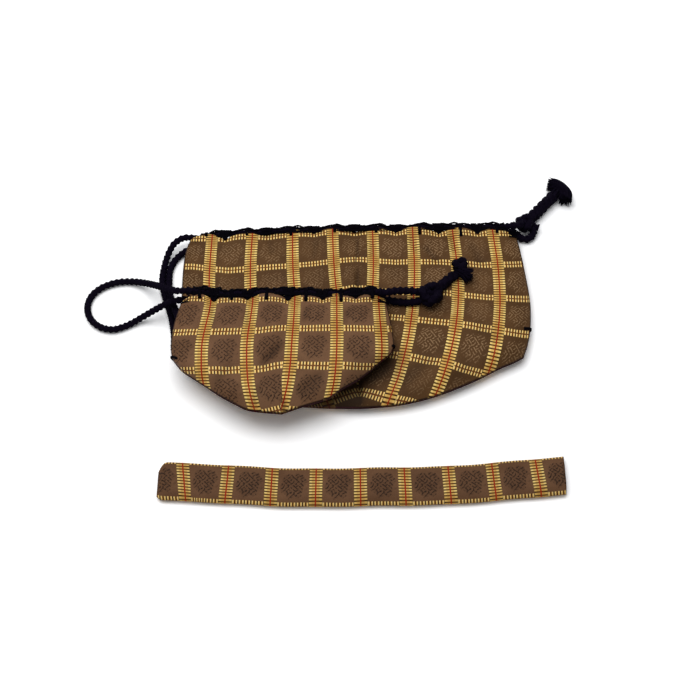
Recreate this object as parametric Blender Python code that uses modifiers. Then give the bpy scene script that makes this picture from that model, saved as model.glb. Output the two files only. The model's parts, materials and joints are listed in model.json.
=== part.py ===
"""A matched set of brocade covers for tea things, laid flat on a table.

A large drawstring pouch for a tea bowl lies at the back, a small one for a tea caddy lies on its near left
part, and a long narrow sleeve for a tea scoop lies in front. Each pouch is a front and a back panel over
wadding and a silk lining, with a drawcord in lacing loops along both lips of its mouth.

Metres, +Z up. +X runs along the sleeve, +Y points from the sleeve to the mouths of the pouches, and the
origin is on the table under the middle of the set.
"""

import math

import bmesh
import bpy
from mathutils import Vector

# Cloth layers, from the outside in, and what keeps two pieces apart
BROCADE_THICK = 0.0006
WADDING_THICK = 0.001
LINING_THICK = 0.0005
SEAT_GAP = 0.0003

# Both pouches: the clear height inside, the rounding at the seams, and the hem that folds over the wadding
POUCH_HOLLOW = 0.005
EDGE_ROLL = 0.013
MOUTH_HEM = 0.0015

# Drawcords, their lacing and the sewn stitches
CORD_THICK = 0.0032
STRAND_THICK = 0.0027
STRAND_PLAY = 0.0002
TWIST_PITCH = 0.011
LACE_THICK = 0.001
LACE_PLAY = 0.0004
LACE_PITCH = 0.0117
LACE_END = 0.0035
RUN_OVERHANG = 0.002
LEAD_STRAIGHT = 0.002
FRONT_RUN_DROP = 0.0008
STITCH_THICK = 0.0009
STITCH_REACH = 0.005
STITCH_LIFT = 0.0005

# The large pouch: its size, and where its foot lies and how far it is turned on the table
BOWL_WIDTH = 0.1844
BOWL_HEIGHT = 0.1067
BOWL_X = -0.0007
BOWL_Y = -0.0304
BOWL_TURN = math.radians(1.5)
BOWL_KNOT_RADIUS = 0.0046
BOWL_HEAD_LENGTH = 0.017
BOWL_HEAD_THICK = 0.0066

# The small pouch, which lies on the large one
CADDY_WIDTH = 0.1148
CADDY_HEIGHT = 0.0667
CADDY_X = -0.0396
CADDY_Y = -0.0396
CADDY_KNOT_RADIUS = 0.0052
CADDY_HEAD_LENGTH = 0.0136
CADDY_HEAD_THICK = 0.0076

# The sleeve: one strip folded along its far edge and seamed along the near one and the left end
SLEEVE_LENGTH = 0.201
SLEEVE_WIDTH = 0.0208
SLEEVE_Y = -0.0734
SLEEVE_LINING_THICK = 0.0004
SLEEVE_HOLLOW = 0.0018
SLEEVE_ROLL = 0.005
SLEEVE_RISE = 0.0065
SLEEVE_CORNER = 0.006

# Outlines, from the mouth down each side to the corner, then along the foot. Across is a share of half the
# width from the middle, and up is a share of the height from the foot
BOWL_SIDE_SHARES = [
    (0.96, 1.0), (0.975, 0.9), (0.99, 0.75), (1.0, 0.58), (0.99, 0.43), (0.965, 0.33), (0.93, 0.265),
]
BOWL_FOOT_SHARES = [
    (0.93, 0.265), (0.85, 0.195), (0.756, 0.14), (0.63, 0.088), (0.47, 0.037), (0.22, 0.009), (0, 0),
]
CADDY_LEFT_SHARES = [
    (0.925, 1.0), (0.955, 0.93), (0.99, 0.79), (1.0, 0.65), (0.998, 0.545), (0.975, 0.47), (0.93, 0.42),
]
CADDY_LEFT_FOOT_SHARES = [
    (0.93, 0.42), (0.81, 0.32), (0.68, 0.234), (0.54, 0.147), (0.405, 0.078), (0.27, 0.025), (0, 0),
]
CADDY_RIGHT_SHARES = [(0.915, 1.0), (0.95, 0.86), (0.975, 0.7), (0.983, 0.6), (0.955, 0.525)]
CADDY_RIGHT_FOOT_SHARES = [
    (0.955, 0.525), (0.85, 0.445), (0.76, 0.366), (0.65, 0.286), (0.51, 0.207), (0.4, 0.13), (0.19, 0.065), (0, 0),
]

# Where the stitches cross a pouch's side seams, up from the foot: at the mouth, and low on each side
MOUTH_TACK_SHARE = 0.97
BOWL_SIDE_STITCH_SHARE = 0.22
CADDY_SIDE_STITCH_SHARE = 0.14

# Where the sleeve is straight across, from its middle as a share of half its length
SLEEVE_BEND_START_SHARE = -0.12

# The free stretches of the cords, in millimetres: across and up from the end of the drawcord's run at the
# left of the mouth for a loop and at the right for the rest, and above the table
MM = 0.001
BOWL_LOOP = [
    (-5.6, -0.5, 9.2), (-8.6, -2.3, 7.9), (-11.5, -5.1, 6.2), (-13.8, -8.8, 4.6), (-15.5, -13.3, 3.1),
    (-16.6, -18.3, 2.2), (-17.2, -23.7, 1.8), (-17.0, -29.1, 1.8), (-15.9, -34.3, 1.8), (-14.5, -39.3, 1.8),
    (-13.0, -44.5, 1.8), (-11.5, -49.7, 1.8), (-10.5, -54.6, 1.8), (-9.8, -59.1, 1.8), (-9.4, -63.1, 1.8),
    (-9.3, -66.5, 1.8), (-9.3, -69.6, 2.0), (-8.4, -72.1, 3.5), (-7.0, -73.0, 6.0), (-5.5, -72.2, 8.5),
    (-4.6, -69.7, 10.1), (-4.3, -66.6, 10.3), (-4.5, -62.9, 10.3), (-5.3, -58.5, 10.0), (-6.6, -53.8, 9.2),
    (-8.1, -49.0, 7.9), (-9.7, -44.1, 6.4), (-11.1, -39.5, 5.0), (-12.4, -34.8, 3.7), (-13.3, -29.9, 2.7),
    (-13.7, -24.7, 2.0), (-13.5, -19.6, 1.8), (-12.4, -14.7, 1.8), (-10.9, -10.2, 1.8), (-9.3, -6.7, 1.8),
    (-7.5, -3.2, 2.0), (-5.2, -0.9, 2.6),
]
BOWL_FRONT_LEAD = [(3.8, 0.9, 8.6), (4.7, 1.8, 8.0)]
BOWL_BACK_LEAD = [(4.9, -2.1, 2.2), (8.1, -3.2, 1.8), (10.9, -1.8, 2.1), (12.1, 1.2, 3.1)]
BOWL_KNOT = (7.8, 4.9, 5.2)
BOWL_TAIL = [(11.2, 8.9, 3.3), (25.2, 23.9, 3.1)]
BOWL_HEAD = (28.2, 27.0, 3.6)
BOWL_HEAD_AXIS = (-0.7, 0.7, 0.0)
CADDY_LOOP = [
    (-5.3, 0.6, 19.8), (-8.2, 2.5, 18.3), (-11.2, 5.3, 15.9), (-14.4, 8.5, 12.9), (-18.0, 11.8, 9.7),
    (-22.2, 15.0, 6.5), (-27.3, 17.9, 3.7), (-32.9, 19.5, 2.1), (-38.9, 19.3, 1.8), (-44.5, 17.6, 1.8),
    (-49.4, 14.6, 1.8), (-53.0, 10.2, 1.8), (-54.5, 4.6, 1.8), (-53.7, -1.2, 1.8), (-50.7, -6.3, 1.8),
    (-45.9, -9.8, 1.8), (-40.1, -11.0, 1.8), (-34.6, -9.5, 1.8), (-29.5, -6.5, 1.8), (-24.3, -3.3, 2.4),
    (-19.2, -1.1, 4.3), (-14.6, -0.3, 7.1), (-10.7, -0.2, 9.9), (-7.4, -0.2, 12.1), (-4.5, -0.1, 13.5),
]
CADDY_FRONT_LEAD = [(7.4, 1.4, 19.6), (14.2, 2.3, 18.4), (19.9, 2.3, 17.3)]
CADDY_BACK_LEAD = [(7.5, -0.8, 13.0), (14.4, -1.2, 12.8), (20.7, -0.3, 13.7)]
CADDY_KNOT = (25.6, 1.8, 16.1)
CADDY_TAIL = [(29.4, 6.6, 14.1), (38.9, 16.0, 13.6)]
CADDY_HEAD = (42.5, 19.6, 14.6)
CADDY_HEAD_AXIS = (-0.33, 0.94, 0.0)

# Knots: the way that their poles point, how many times the cord wraps round, and how deep the grooves are
KNOT_AXIS = (0.7, 0.7, 0.2)
KNOT_WRAPS = 3
KNOT_GROOVE_SHARE = 0.06

# How fine the meshes are
BOWL_GRID_STEPS = (0.0108, 0.027)
CADDY_GRID_STEPS = (0.0081, 0.018)
SLEEVE_GRID_STEP = 0.0125
SLEEVE_FOLD_POINTS = 5
CORD_STEP_SHARE = 2.5
CORD_RINGS = 2
THREAD_RINGS = 1
LACE_TURN_POINTS = 9
TWIST_TURN_POINTS = 9
BALL_SEGMENTS = 14
BALL_RINGS = 9
SHARP_ANGLE = math.radians(50)

WALL = BROCADE_THICK + SEAT_GAP + WADDING_THICK + SEAT_GAP + LINING_THICK
POUCH_THICK = POUCH_HOLLOW + 2 * WALL
LACE_RADIUS = CORD_THICK / 2 + LACE_PLAY + LACE_THICK / 2
LACE_OUTER = LACE_RADIUS + LACE_THICK / 2


def material(name, colour, roughness):
    """A plain surface of this colour."""
    made = bpy.data.materials.new(name)
    made.use_nodes = True
    shader = made.node_tree.nodes["Principled BSDF"]
    shader.inputs["Base Color"].default_value = (*colour, 1.0)
    shader.inputs["Roughness"].default_value = roughness
    shader.inputs["Metallic"].default_value = 0.0
    return made


def keep(made, parent, slot):
    """The object in the set's collection, under its parent, with its material."""
    made.data.materials.append(slot)
    made.parent = parent
    bpy.data.collections["tea_pouch_set"].objects.link(made)
    return made


def axis_empty(name, location, turn):
    """An empty that carries one moving body's pieces."""
    made = bpy.data.objects.new(name, None)
    made.location = location
    made.rotation_euler = (0.0, 0.0, turn)
    bpy.data.collections["tea_pouch_set"].objects.link(made)
    return made


def eased(points, before, after, share):
    """The point at this share of the way between two of a row of points, on a smooth curve through them all."""
    first, start, end, last = before, points[0], points[1], after
    steady = 2 * start + (end - first) * share
    curved = (2 * first - 5 * start + 4 * end - last) * share**2
    return 0.5 * (steady + curved + (3 * start - first - 3 * end + last) * share**3)


def smooth(points, step):
    """Points about a step apart on a smooth curve through these."""
    found = []
    for i, (start, end) in enumerate(zip(points, points[1:])):
        before = points[max(0, i - 1)]
        after = points[min(len(points) - 1, i + 2)]
        count = max(1, round((end - start).length / step))
        found += [eased((start, end), before, after, k / count) for k in range(count)]
    return found + [points[-1]]


def curve_at(points, share):
    """The point at this share of the length of a row of points, on a smooth curve through them."""
    lengths = [(end - start).length for start, end in zip(points, points[1:])]
    left = share * sum(lengths)
    i = 0
    while i < len(lengths) - 1 and left > lengths[i]:
        left -= lengths[i]
        i += 1
    before = points[max(0, i - 1)]
    after = points[min(len(points) - 1, i + 2)]
    return eased((points[i], points[i + 1]), before, after, min(1.0, left / lengths[i]))


def roll(inset, width):
    """How far a pouch has swelled to its full height this far in from a seam: 0 at the seam, 1 past the roll."""
    return 1 - (1 - min(1.0, max(0.0, inset / width))) ** 2


def inset_for(rise, full, width):
    """How far in from a seam the space between the panels has this share of its full height."""
    return width * (1 - math.sqrt(1 - rise / full))


def even_steps(start, end, step):
    """Stations from past the start to the end, about a step apart."""
    count = max(2, round((end - start) / step))
    return [start + (end - start) * k / count for k in range(1, count + 1)]


def laid_grid(columns, rows, place):
    """A sheet as an open grid whose points are placed by a function of their column and row."""
    mesh = bmesh.new()
    bmesh.ops.create_grid(mesh, x_segments=len(columns) - 1, y_segments=len(rows) - 1, size=1)
    for vertex in mesh.verts:
        column = round((vertex.co.x + 1) / 2 * (len(columns) - 1))
        row = round((vertex.co.y + 1) / 2 * (len(rows) - 1))
        vertex.co = place(columns[column], rows[row])
    return mesh


def finished(name, mesh):
    """The mesh as an object that is smooth but for its edges."""
    data = bpy.data.meshes.new(name)
    mesh.to_mesh(data)
    mesh.free()
    data.shade_smooth()
    data.set_sharp_from_angle(angle=SHARP_ANGLE)
    return bpy.data.objects.new(name, data)


def least_gap(points, thickness, apart):
    """The least gap between two stretches of a winding whose points are at least this many points apart."""
    gaps = [
        (other - point).length
        for i, point in enumerate(points)
        for other in points[i + apart :]
    ]
    return min(gaps) - thickness


def tube(name, points, thickness, resolution):
    """A cord as a curve with filled caps."""
    curve = bpy.data.curves.new(name, "CURVE")
    curve.dimensions = "3D"
    curve.bevel_depth = thickness / 2
    curve.bevel_resolution = resolution
    curve.use_fill_caps = True
    spline = curve.splines.new("POLY")
    spline.points.add(len(points) - 1)
    for target, point in zip(spline.points, points):
        target.co = (*point, 1.0)
    return bpy.data.objects.new(name, curve)


def ball(name, centre, axis, length, thickness, groove_share):
    """A lump of cord, long along its axis, with winding grooves where the cord wraps round."""
    mesh = bmesh.new()
    bmesh.ops.create_uvsphere(mesh, u_segments=BALL_SEGMENTS, v_segments=BALL_RINGS, radius=1)
    turned = Vector(axis).to_track_quat("Z", "Y")
    for vertex in mesh.verts:
        around = math.atan2(vertex.co.y, vertex.co.x)
        groove = 1 - groove_share * (1 + math.cos(KNOT_WRAPS * (around + vertex.co.z)))
        flank = vertex.co.x * groove * thickness / 2
        side = vertex.co.y * groove * thickness / 2
        vertex.co = turned @ Vector((flank, side, vertex.co.z * length / 2)) + centre
    return finished(name, mesh)


class Pouch:
    """One flat pouch in its own frame: across from the middle, up from the foot, above what it lies on."""

    def __init__(self, name, width, height, sides, rest, grid_steps):
        self.name = name
        self.width = width
        self.height = height
        self.rest = rest
        self.middle = POUCH_THICK / 2
        self.outlines = {}
        for side, shares in sides.items():
            sign = -1 if side.startswith("left") else 1
            points = [Vector((sign * across * width / 2, up * height, 0.0)) for across, up in shares]
            self.outlines[side] = points
        self.full = self.middle - BROCADE_THICK - SEAT_GAP / 2
        wadding_inset = inset_for(SEAT_GAP + WADDING_THICK, self.full, EDGE_ROLL)
        lining_inset = inset_for(2 * SEAT_GAP + WADDING_THICK + LINING_THICK, self.full, EDGE_ROLL)
        insets = [0.0, wadding_inset, lining_inset, (lining_inset + EDGE_ROLL) / 2, EDGE_ROLL]
        inner = even_steps(EDGE_ROLL, width - EDGE_ROLL, grid_steps[0])
        self.columns = insets + inner + [width - inset for inset in reversed(insets[:-1])]
        self.rows = insets + even_steps(EDGE_ROLL, height - MOUTH_HEM, grid_steps[1]) + [height]

    def plan(self, across, up):
        """The point of the flat outline at these insets from the left side and the foot."""
        u = across / self.width
        v = up / self.height
        left = curve_at(self.outlines["left"], 1 - v)
        right = curve_at(self.outlines["right"], 1 - v)
        mouth = self.outlines["left"][0].lerp(self.outlines["right"][0], u)
        if u < 0.5:
            foot = curve_at(self.outlines["left_foot"], 2 * u)
        else:
            foot = curve_at(self.outlines["right_foot"], 2 - 2 * u)
        low = self.outlines["left"][-1].lerp(self.outlines["right"][-1], u)
        return foot * (1 - v) + mouth * v + left * (1 - u) + right * u - low * (1 - v) - mouth * v

    def inner_face(self, across, up):
        """How far the outer panels' inner faces lie from the pouch's middle plane here."""
        swelled = min(roll(min(across, self.width - across), EDGE_ROLL), roll(up, EDGE_ROLL))
        return SEAT_GAP / 2 + self.full * swelled

    def layer(self, kind, face, skip, depth, thickness, hem):
        """A front or back layer: skip drops the outer stations, and depth is how far inside the panel it lies."""
        sign = 1 if face == "front" else -1
        columns = self.columns[skip : len(self.columns) - skip]
        rows = self.rows[skip : len(self.rows) - hem]

        def place(across, up):
            point = self.plan(across, up)
            point.z = self.middle + sign * (self.inner_face(across, up) - depth)
            return point

        mesh = laid_grid(columns, rows, place)
        drawn = bmesh.ops.extrude_face_region(mesh, geom=mesh.faces[:], use_keep_orig=True)
        moved = [item for item in drawn["geom"] if isinstance(item, bmesh.types.BMVert)]
        bmesh.ops.translate(mesh, verts=moved, vec=(0, 0, sign * thickness))
        bmesh.ops.recalc_face_normals(mesh, faces=mesh.faces[:])
        return finished(f"{self.name}_{face}_{kind}", mesh)

    def run_centre(self, face):
        """Where the drawcord runs along this lip: up from the foot, and above what the pouch lies on."""
        up = self.height + SEAT_GAP + LACE_OUTER
        if face == "back":
            return up, SEAT_GAP / 2 + LACE_OUTER
        return up, POUCH_THICK - FRONT_RUN_DROP

    def half_mouth(self, side):
        """How far the mouth reaches to this side of the middle."""
        return abs(self.outlines[side][0].x)

    def run_end(self, face, side):
        """The middle of the end face of the drawcord's run, at this side."""
        up, above = self.run_centre(face)
        sign = -1 if side == "left" else 1
        return Vector((sign * (self.half_mouth(side) - RUN_OVERHANG), up, above))

    def run(self, face):
        """The drawcord along one lip."""
        points = smooth([self.run_end(face, "left"), self.run_end(face, "right")], CORD_STEP_SHARE * CORD_THICK)
        return tube(f"{self.name}_drawcord_{face}_run", points, CORD_THICK, CORD_RINGS)

    def lacing(self, face):
        """The thread that winds round the drawcord along one lip."""
        up, above = self.run_centre(face)
        start = LACE_END - self.half_mouth("left")
        end = self.half_mouth("right") - LACE_END
        turns = max(1, round((end - start) / LACE_PITCH))
        steps = turns * LACE_TURN_POINTS
        points = []
        for k in range(steps + 1):
            angle = 2 * math.pi * k / LACE_TURN_POINTS - math.pi / 2
            swing = Vector((0.0, math.sin(angle) * LACE_RADIUS, math.cos(angle) * LACE_RADIUS))
            points.append(Vector((start + (end - start) * k / steps, up, above)) + swing)
        gap = least_gap(points, LACE_THICK, LACE_TURN_POINTS - 1)
        print(f"{self.name}_{face}_lacing: least gap to itself {gap / MM:.1f} mm")
        straight = Vector((LACE_THICK, 0, 0))
        points = [points[0] - straight] + points + [points[-1] + straight]
        return tube(f"{self.name}_{face}_lacing", points, LACE_THICK, THREAD_RINGS)

    def side_stitch(self, kind, side, share):
        """A thread over a side seam, from the front of the pouch round to the back."""
        up = share * self.height
        points = []
        for sign in (1, -1):
            for inset in (STITCH_REACH, STITCH_REACH / 2, STITCH_THICK):
                across = inset if side == "left" else self.width - inset
                point = self.plan(across, up)
                point.z = self.middle + sign * (
                    self.inner_face(across, up) + BROCADE_THICK + STITCH_LIFT + STITCH_THICK / 2
                )
                points.append(point)
        outermost = self.plan(0.0 if side == "left" else self.width, up)
        outermost.x += (-1 if side == "left" else 1) * (STITCH_LIFT + STITCH_THICK / 2)
        outermost.z = self.middle
        ordered = points[:3] + [outermost] + list(reversed(points[3:]))
        return tube(f"{self.name}_{side}_{kind}", smooth(ordered, 2 * STITCH_THICK), STITCH_THICK, THREAD_RINGS)

    def placed(self, point, side):
        """A hand-chosen point of a cord, given from the end of the run at this side, in the pouch's own frame."""
        end = self.run_end("back", side)
        return Vector((end.x, end.y, -self.rest)) + Vector(point) * MM

    def loop(self, route):
        """The drawcord's free loop, from the left end of the front run round to that of the back run."""
        out = Vector((-SEAT_GAP, 0, 0))
        straight = Vector((-LEAD_STRAIGHT, 0, 0))
        start = self.run_end("front", "left") + out
        end = self.run_end("back", "left") + out
        points = [start, start + straight] + [self.placed(p, "left") for p in route] + [end + straight, end]
        points = smooth(points, CORD_STEP_SHARE * CORD_THICK)
        return tube(f"{self.name}_drawcord_loop", points, CORD_THICK, CORD_RINGS)

    def lead(self, face, route):
        """The drawcord from the right end of one run to the knot."""
        start = self.run_end(face, "right") + Vector((SEAT_GAP, 0, 0))
        points = [start, start + Vector((LEAD_STRAIGHT, 0, 0))] + [self.placed(p, "right") for p in route]
        return tube(f"{self.name}_drawcord_{face}_lead", smooth(points, CORD_THICK), CORD_THICK, CORD_RINGS)

    def tail_strand(self, number, route):
        """One of the two strands that twist round each other from the knot to the head."""
        start, end = [self.placed(p, "right") for p in route]
        along = (end - start).normalized()
        side = along.cross(Vector((0, 0, 1))).normalized()
        lift = side.cross(along)
        radius = STRAND_THICK / 2 + STRAND_PLAY
        steps = max(2, round((end - start).length / TWIST_PITCH * TWIST_TURN_POINTS))
        points = []
        for k in range(steps + 1):
            angle = 2 * math.pi * k / TWIST_TURN_POINTS + math.pi * number
            swing = (side * math.cos(angle) + lift * math.sin(angle)) * radius
            points.append(start.lerp(end, k / steps) + swing)
        return tube(f"{self.name}_drawcord_tail_strand_{number + 1}", points, STRAND_THICK, CORD_RINGS)


def pouch_cloth(pouch, parent, slots):
    """The six cloth layers of a pouch."""
    depth = SEAT_GAP + WADDING_THICK
    lining_depth = depth + SEAT_GAP + LINING_THICK
    for face in ("front", "back"):
        keep(pouch.layer("panel", face, 0, 0.0, BROCADE_THICK, 0), parent, slots["brocade"])
        keep(pouch.layer("wadding", face, 1, depth, WADDING_THICK, 1), parent, slots["wadding"])
        keep(pouch.layer("lining", face, 2, lining_depth, LINING_THICK, 0), parent, slots["lining"])


def pouch_sewing(pouch, parent, slots, side_share):
    """The lacing along both lips and the stitches over the side seams."""
    for face in ("front", "back"):
        keep(pouch.lacing(face), parent, slots["cord"])
    for side in ("left", "right"):
        keep(pouch.side_stitch("mouth_tack", side, MOUTH_TACK_SHARE), parent, slots["cord"])
        keep(pouch.side_stitch("side_stitch", side, side_share), parent, slots["cord"])


def drawcord(pouch, parent, slots, routes, knot_radius, head):
    """The drawcord of a pouch: two runs, the left loop, and on the right the leads, knot, tail and its head."""
    loop, front_lead, back_lead, knot, tail = routes
    for face in ("front", "back"):
        keep(pouch.run(face), parent, slots["cord"])
    keep(pouch.loop(loop), parent, slots["cord"])
    keep(pouch.lead("front", front_lead), parent, slots["cord"])
    keep(pouch.lead("back", back_lead), parent, slots["cord"])
    knot_name = f"{pouch.name}_drawcord_knot"
    centre = pouch.placed(knot, "right")
    size = 2 * knot_radius
    keep(ball(knot_name, centre, KNOT_AXIS, size, size, KNOT_GROOVE_SHARE), parent, slots["cord"])
    for number in (0, 1):
        keep(pouch.tail_strand(number, tail), parent, slots["cord"])
    place, axis, length, thickness = head
    head_name = f"{pouch.name}_drawcord_tail_head"
    keep(ball(head_name, pouch.placed(place, "right"), axis, length, thickness, 0.0), parent, slots["cord"])


def sleeve_bend(along):
    """How far the sleeve's middle line lies from straight here."""
    share = 2 * along / SLEEVE_LENGTH
    return SLEEVE_RISE * ((share - SLEEVE_BEND_START_SHARE) / (1 - SLEEVE_BEND_START_SHARE)) ** 2


def sleeve_layer(name, hidden, skip, thickness):
    """One layer of the sleeve: a strip folded along its far edge, hidden this far inside the outer strip."""
    middle = BROCADE_THICK + SEAT_GAP + SLEEVE_LINING_THICK + SLEEVE_HOLLOW / 2
    outer_half = middle - BROCADE_THICK
    lining_inset = inset_for(SEAT_GAP + SLEEVE_LINING_THICK, outer_half - SEAT_GAP / 2, SLEEVE_ROLL)
    insets = [0.0, lining_inset, (lining_inset + SLEEVE_ROLL) / 2, SLEEVE_ROLL]
    columns = insets[2 * skip :] + even_steps(SLEEVE_ROLL, SLEEVE_LENGTH, SLEEVE_GRID_STEP)
    fold_start = SLEEVE_WIDTH - middle
    flat = insets[skip:] + [(SLEEVE_ROLL + fold_start) / 2, fold_start]
    bends = [math.pi * k / (SLEEVE_FOLD_POINTS + 1) for k in range(1, SLEEVE_FOLD_POINTS + 1)]
    rows = [(inset, 0.0) for inset in flat]
    rows += [(fold_start, bend) for bend in bends]
    rows += [(inset, math.pi) for inset in reversed(flat)]

    def place(along, row):
        across, bend = row
        swelled = min(roll(along, SLEEVE_ROLL), roll(across, SLEEVE_ROLL))
        reach = SEAT_GAP / 2 + (outer_half - SEAT_GAP / 2) * swelled - hidden
        narrowed = SLEEVE_CORNER * (1 - min(1.0, along / SLEEVE_CORNER)) ** 2 * across / fold_start
        x = along - SLEEVE_LENGTH / 2
        y = across - narrowed - SLEEVE_WIDTH / 2 + sleeve_bend(x)
        return Vector((x, y + reach * math.sin(bend), middle + reach * math.cos(bend)))

    made = finished(name, laid_grid(columns, rows, place))
    thicken = made.modifiers.new("thickness", "SOLIDIFY")
    thicken.thickness = thickness
    thicken.offset = 1.0
    return made


def build():
    """The whole set."""
    for old in list(bpy.data.objects):
        bpy.data.objects.remove(old)
    collection = bpy.data.collections.new("tea_pouch_set")
    bpy.context.scene.collection.children.link(collection)
    slots = {
        "brocade": material("brown_gold_brocade", (0.2, 0.12, 0.06), 0.6),
        "wadding": material("cotton_wadding", (0.75, 0.72, 0.66), 0.95),
        "lining": material("silk_lining", (0.12, 0.07, 0.045), 0.5),
        "cord": material("black_braided_cord", (0.008, 0.007, 0.012), 0.7),
    }

    bowl_sides = {
        "left": BOWL_SIDE_SHARES,
        "right": BOWL_SIDE_SHARES,
        "left_foot": BOWL_FOOT_SHARES,
        "right_foot": BOWL_FOOT_SHARES,
    }
    bowl = Pouch("bowl_pouch", BOWL_WIDTH, BOWL_HEIGHT, bowl_sides, 0.0, BOWL_GRID_STEPS)
    bowl_place = axis_empty("bowl_pouch_place", (BOWL_X, BOWL_Y, 0.0), BOWL_TURN)
    bowl_cord_place = axis_empty("bowl_drawcord_place", (BOWL_X, BOWL_Y, 0.0), BOWL_TURN)
    pouch_cloth(bowl, bowl_place, slots)
    pouch_sewing(bowl, bowl_place, slots, BOWL_SIDE_STITCH_SHARE)
    bowl_routes = (BOWL_LOOP, BOWL_FRONT_LEAD, BOWL_BACK_LEAD, BOWL_KNOT, BOWL_TAIL)
    bowl_head = (BOWL_HEAD, BOWL_HEAD_AXIS, BOWL_HEAD_LENGTH, BOWL_HEAD_THICK)
    drawcord(bowl, bowl_cord_place, slots, bowl_routes, BOWL_KNOT_RADIUS, bowl_head)

    caddy_sides = {
        "left": CADDY_LEFT_SHARES,
        "right": CADDY_RIGHT_SHARES,
        "left_foot": CADDY_LEFT_FOOT_SHARES,
        "right_foot": CADDY_RIGHT_FOOT_SHARES,
    }
    caddy_rest = POUCH_THICK + SEAT_GAP
    caddy = Pouch("caddy_pouch", CADDY_WIDTH, CADDY_HEIGHT, caddy_sides, caddy_rest, CADDY_GRID_STEPS)
    caddy_place = axis_empty("caddy_pouch_place", (CADDY_X, CADDY_Y, caddy_rest), 0.0)
    caddy_cord_place = axis_empty("caddy_drawcord_place", (CADDY_X, CADDY_Y, caddy_rest), 0.0)
    pouch_cloth(caddy, caddy_place, slots)
    pouch_sewing(caddy, caddy_place, slots, CADDY_SIDE_STITCH_SHARE)
    caddy_routes = (CADDY_LOOP, CADDY_FRONT_LEAD, CADDY_BACK_LEAD, CADDY_KNOT, CADDY_TAIL)
    caddy_head = (CADDY_HEAD, CADDY_HEAD_AXIS, CADDY_HEAD_LENGTH, CADDY_HEAD_THICK)
    drawcord(caddy, caddy_cord_place, slots, caddy_routes, CADDY_KNOT_RADIUS, caddy_head)

    sleeve_place = axis_empty("scoop_sleeve_place", (0.0, SLEEVE_Y, 0.0), 0.0)
    keep(sleeve_layer("scoop_sleeve_strip", 0.0, 0, BROCADE_THICK), sleeve_place, slots["brocade"])
    hidden = SEAT_GAP + SLEEVE_LINING_THICK
    lining = sleeve_layer("scoop_sleeve_lining", hidden, 1, SLEEVE_LINING_THICK)
    keep(lining, sleeve_place, slots["lining"])


build()
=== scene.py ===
"""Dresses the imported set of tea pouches: gold-striped brocade, laced mouths and black braided cords.

A pouch's own frame runs across from its middle, up from its foot and above what it rests on.
"""

import json
import math

import bpy
import numpy as np
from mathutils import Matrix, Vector

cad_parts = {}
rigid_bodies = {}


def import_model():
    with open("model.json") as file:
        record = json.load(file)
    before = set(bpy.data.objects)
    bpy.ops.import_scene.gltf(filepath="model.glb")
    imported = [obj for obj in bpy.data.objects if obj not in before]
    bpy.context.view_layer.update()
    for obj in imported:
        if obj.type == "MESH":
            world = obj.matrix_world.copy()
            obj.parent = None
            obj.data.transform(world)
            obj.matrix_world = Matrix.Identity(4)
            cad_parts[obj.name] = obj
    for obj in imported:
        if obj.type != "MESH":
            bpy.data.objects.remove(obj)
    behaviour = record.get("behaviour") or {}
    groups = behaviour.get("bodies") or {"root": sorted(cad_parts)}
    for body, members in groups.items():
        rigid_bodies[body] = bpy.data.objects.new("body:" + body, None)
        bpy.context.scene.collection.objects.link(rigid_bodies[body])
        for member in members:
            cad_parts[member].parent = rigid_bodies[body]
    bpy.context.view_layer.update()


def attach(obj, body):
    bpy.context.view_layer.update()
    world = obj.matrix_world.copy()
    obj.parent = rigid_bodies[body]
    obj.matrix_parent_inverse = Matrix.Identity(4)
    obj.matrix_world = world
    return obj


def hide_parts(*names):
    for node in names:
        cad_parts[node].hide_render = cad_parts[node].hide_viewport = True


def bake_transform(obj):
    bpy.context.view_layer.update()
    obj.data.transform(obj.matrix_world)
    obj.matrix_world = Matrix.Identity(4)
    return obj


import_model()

MM = 0.001

# Cloth: its layers, the gap between two, the clear height inside a pouch, how far in from a seam it reaches
# its full height, and how far above the middle it lies at the seam
BROCADE_THICK = 0.6
WADDING_THICK = 1.0
LINING_THICK = 0.5
SEAT_GAP = 0.3
POUCH_HOLLOW = 5.0
EDGE_ROLL = 13.0
EDGE_REACH = 0.05
WALL = BROCADE_THICK + SEAT_GAP + WADDING_THICK + SEAT_GAP + LINING_THICK
POUCH_THICK = POUCH_HOLLOW + 2 * WALL
# The meshes' steps
CLOTH_STEP = 0.85
INNER_STEP = 2.6
# The half of a seam that shows on each panel
SEAM_HALF = 0.5

# Cords and threads: the CAD's cord and tail strand, and how full they look here
CORD_THICK = 3.2
# An end's mean thickness, since its lead is thicker than its tail strand
FULL_BRAID = 3.7
FULL_STRAND = 4.2
TWIST_PITCH = 8.0
TWIST_TURN_POINTS = 24
BRAID_PITCH = 4.7
BRAID_SIDES = 20
BRAID_STEP = 0.42
# How far a knot's line swings in and out, and the fibres of a frayed tuft
KNOT_SWING = 1.15
FIBRE_RADIUS = 0.42
FIBRE_SIDES = 5
FIBRE_STEP = 0.55
LACE_THICK = 1.0
LACE_OUTER = CORD_THICK / 2 + 0.4 + LACE_THICK
LACE_STEP = 0.35
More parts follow.
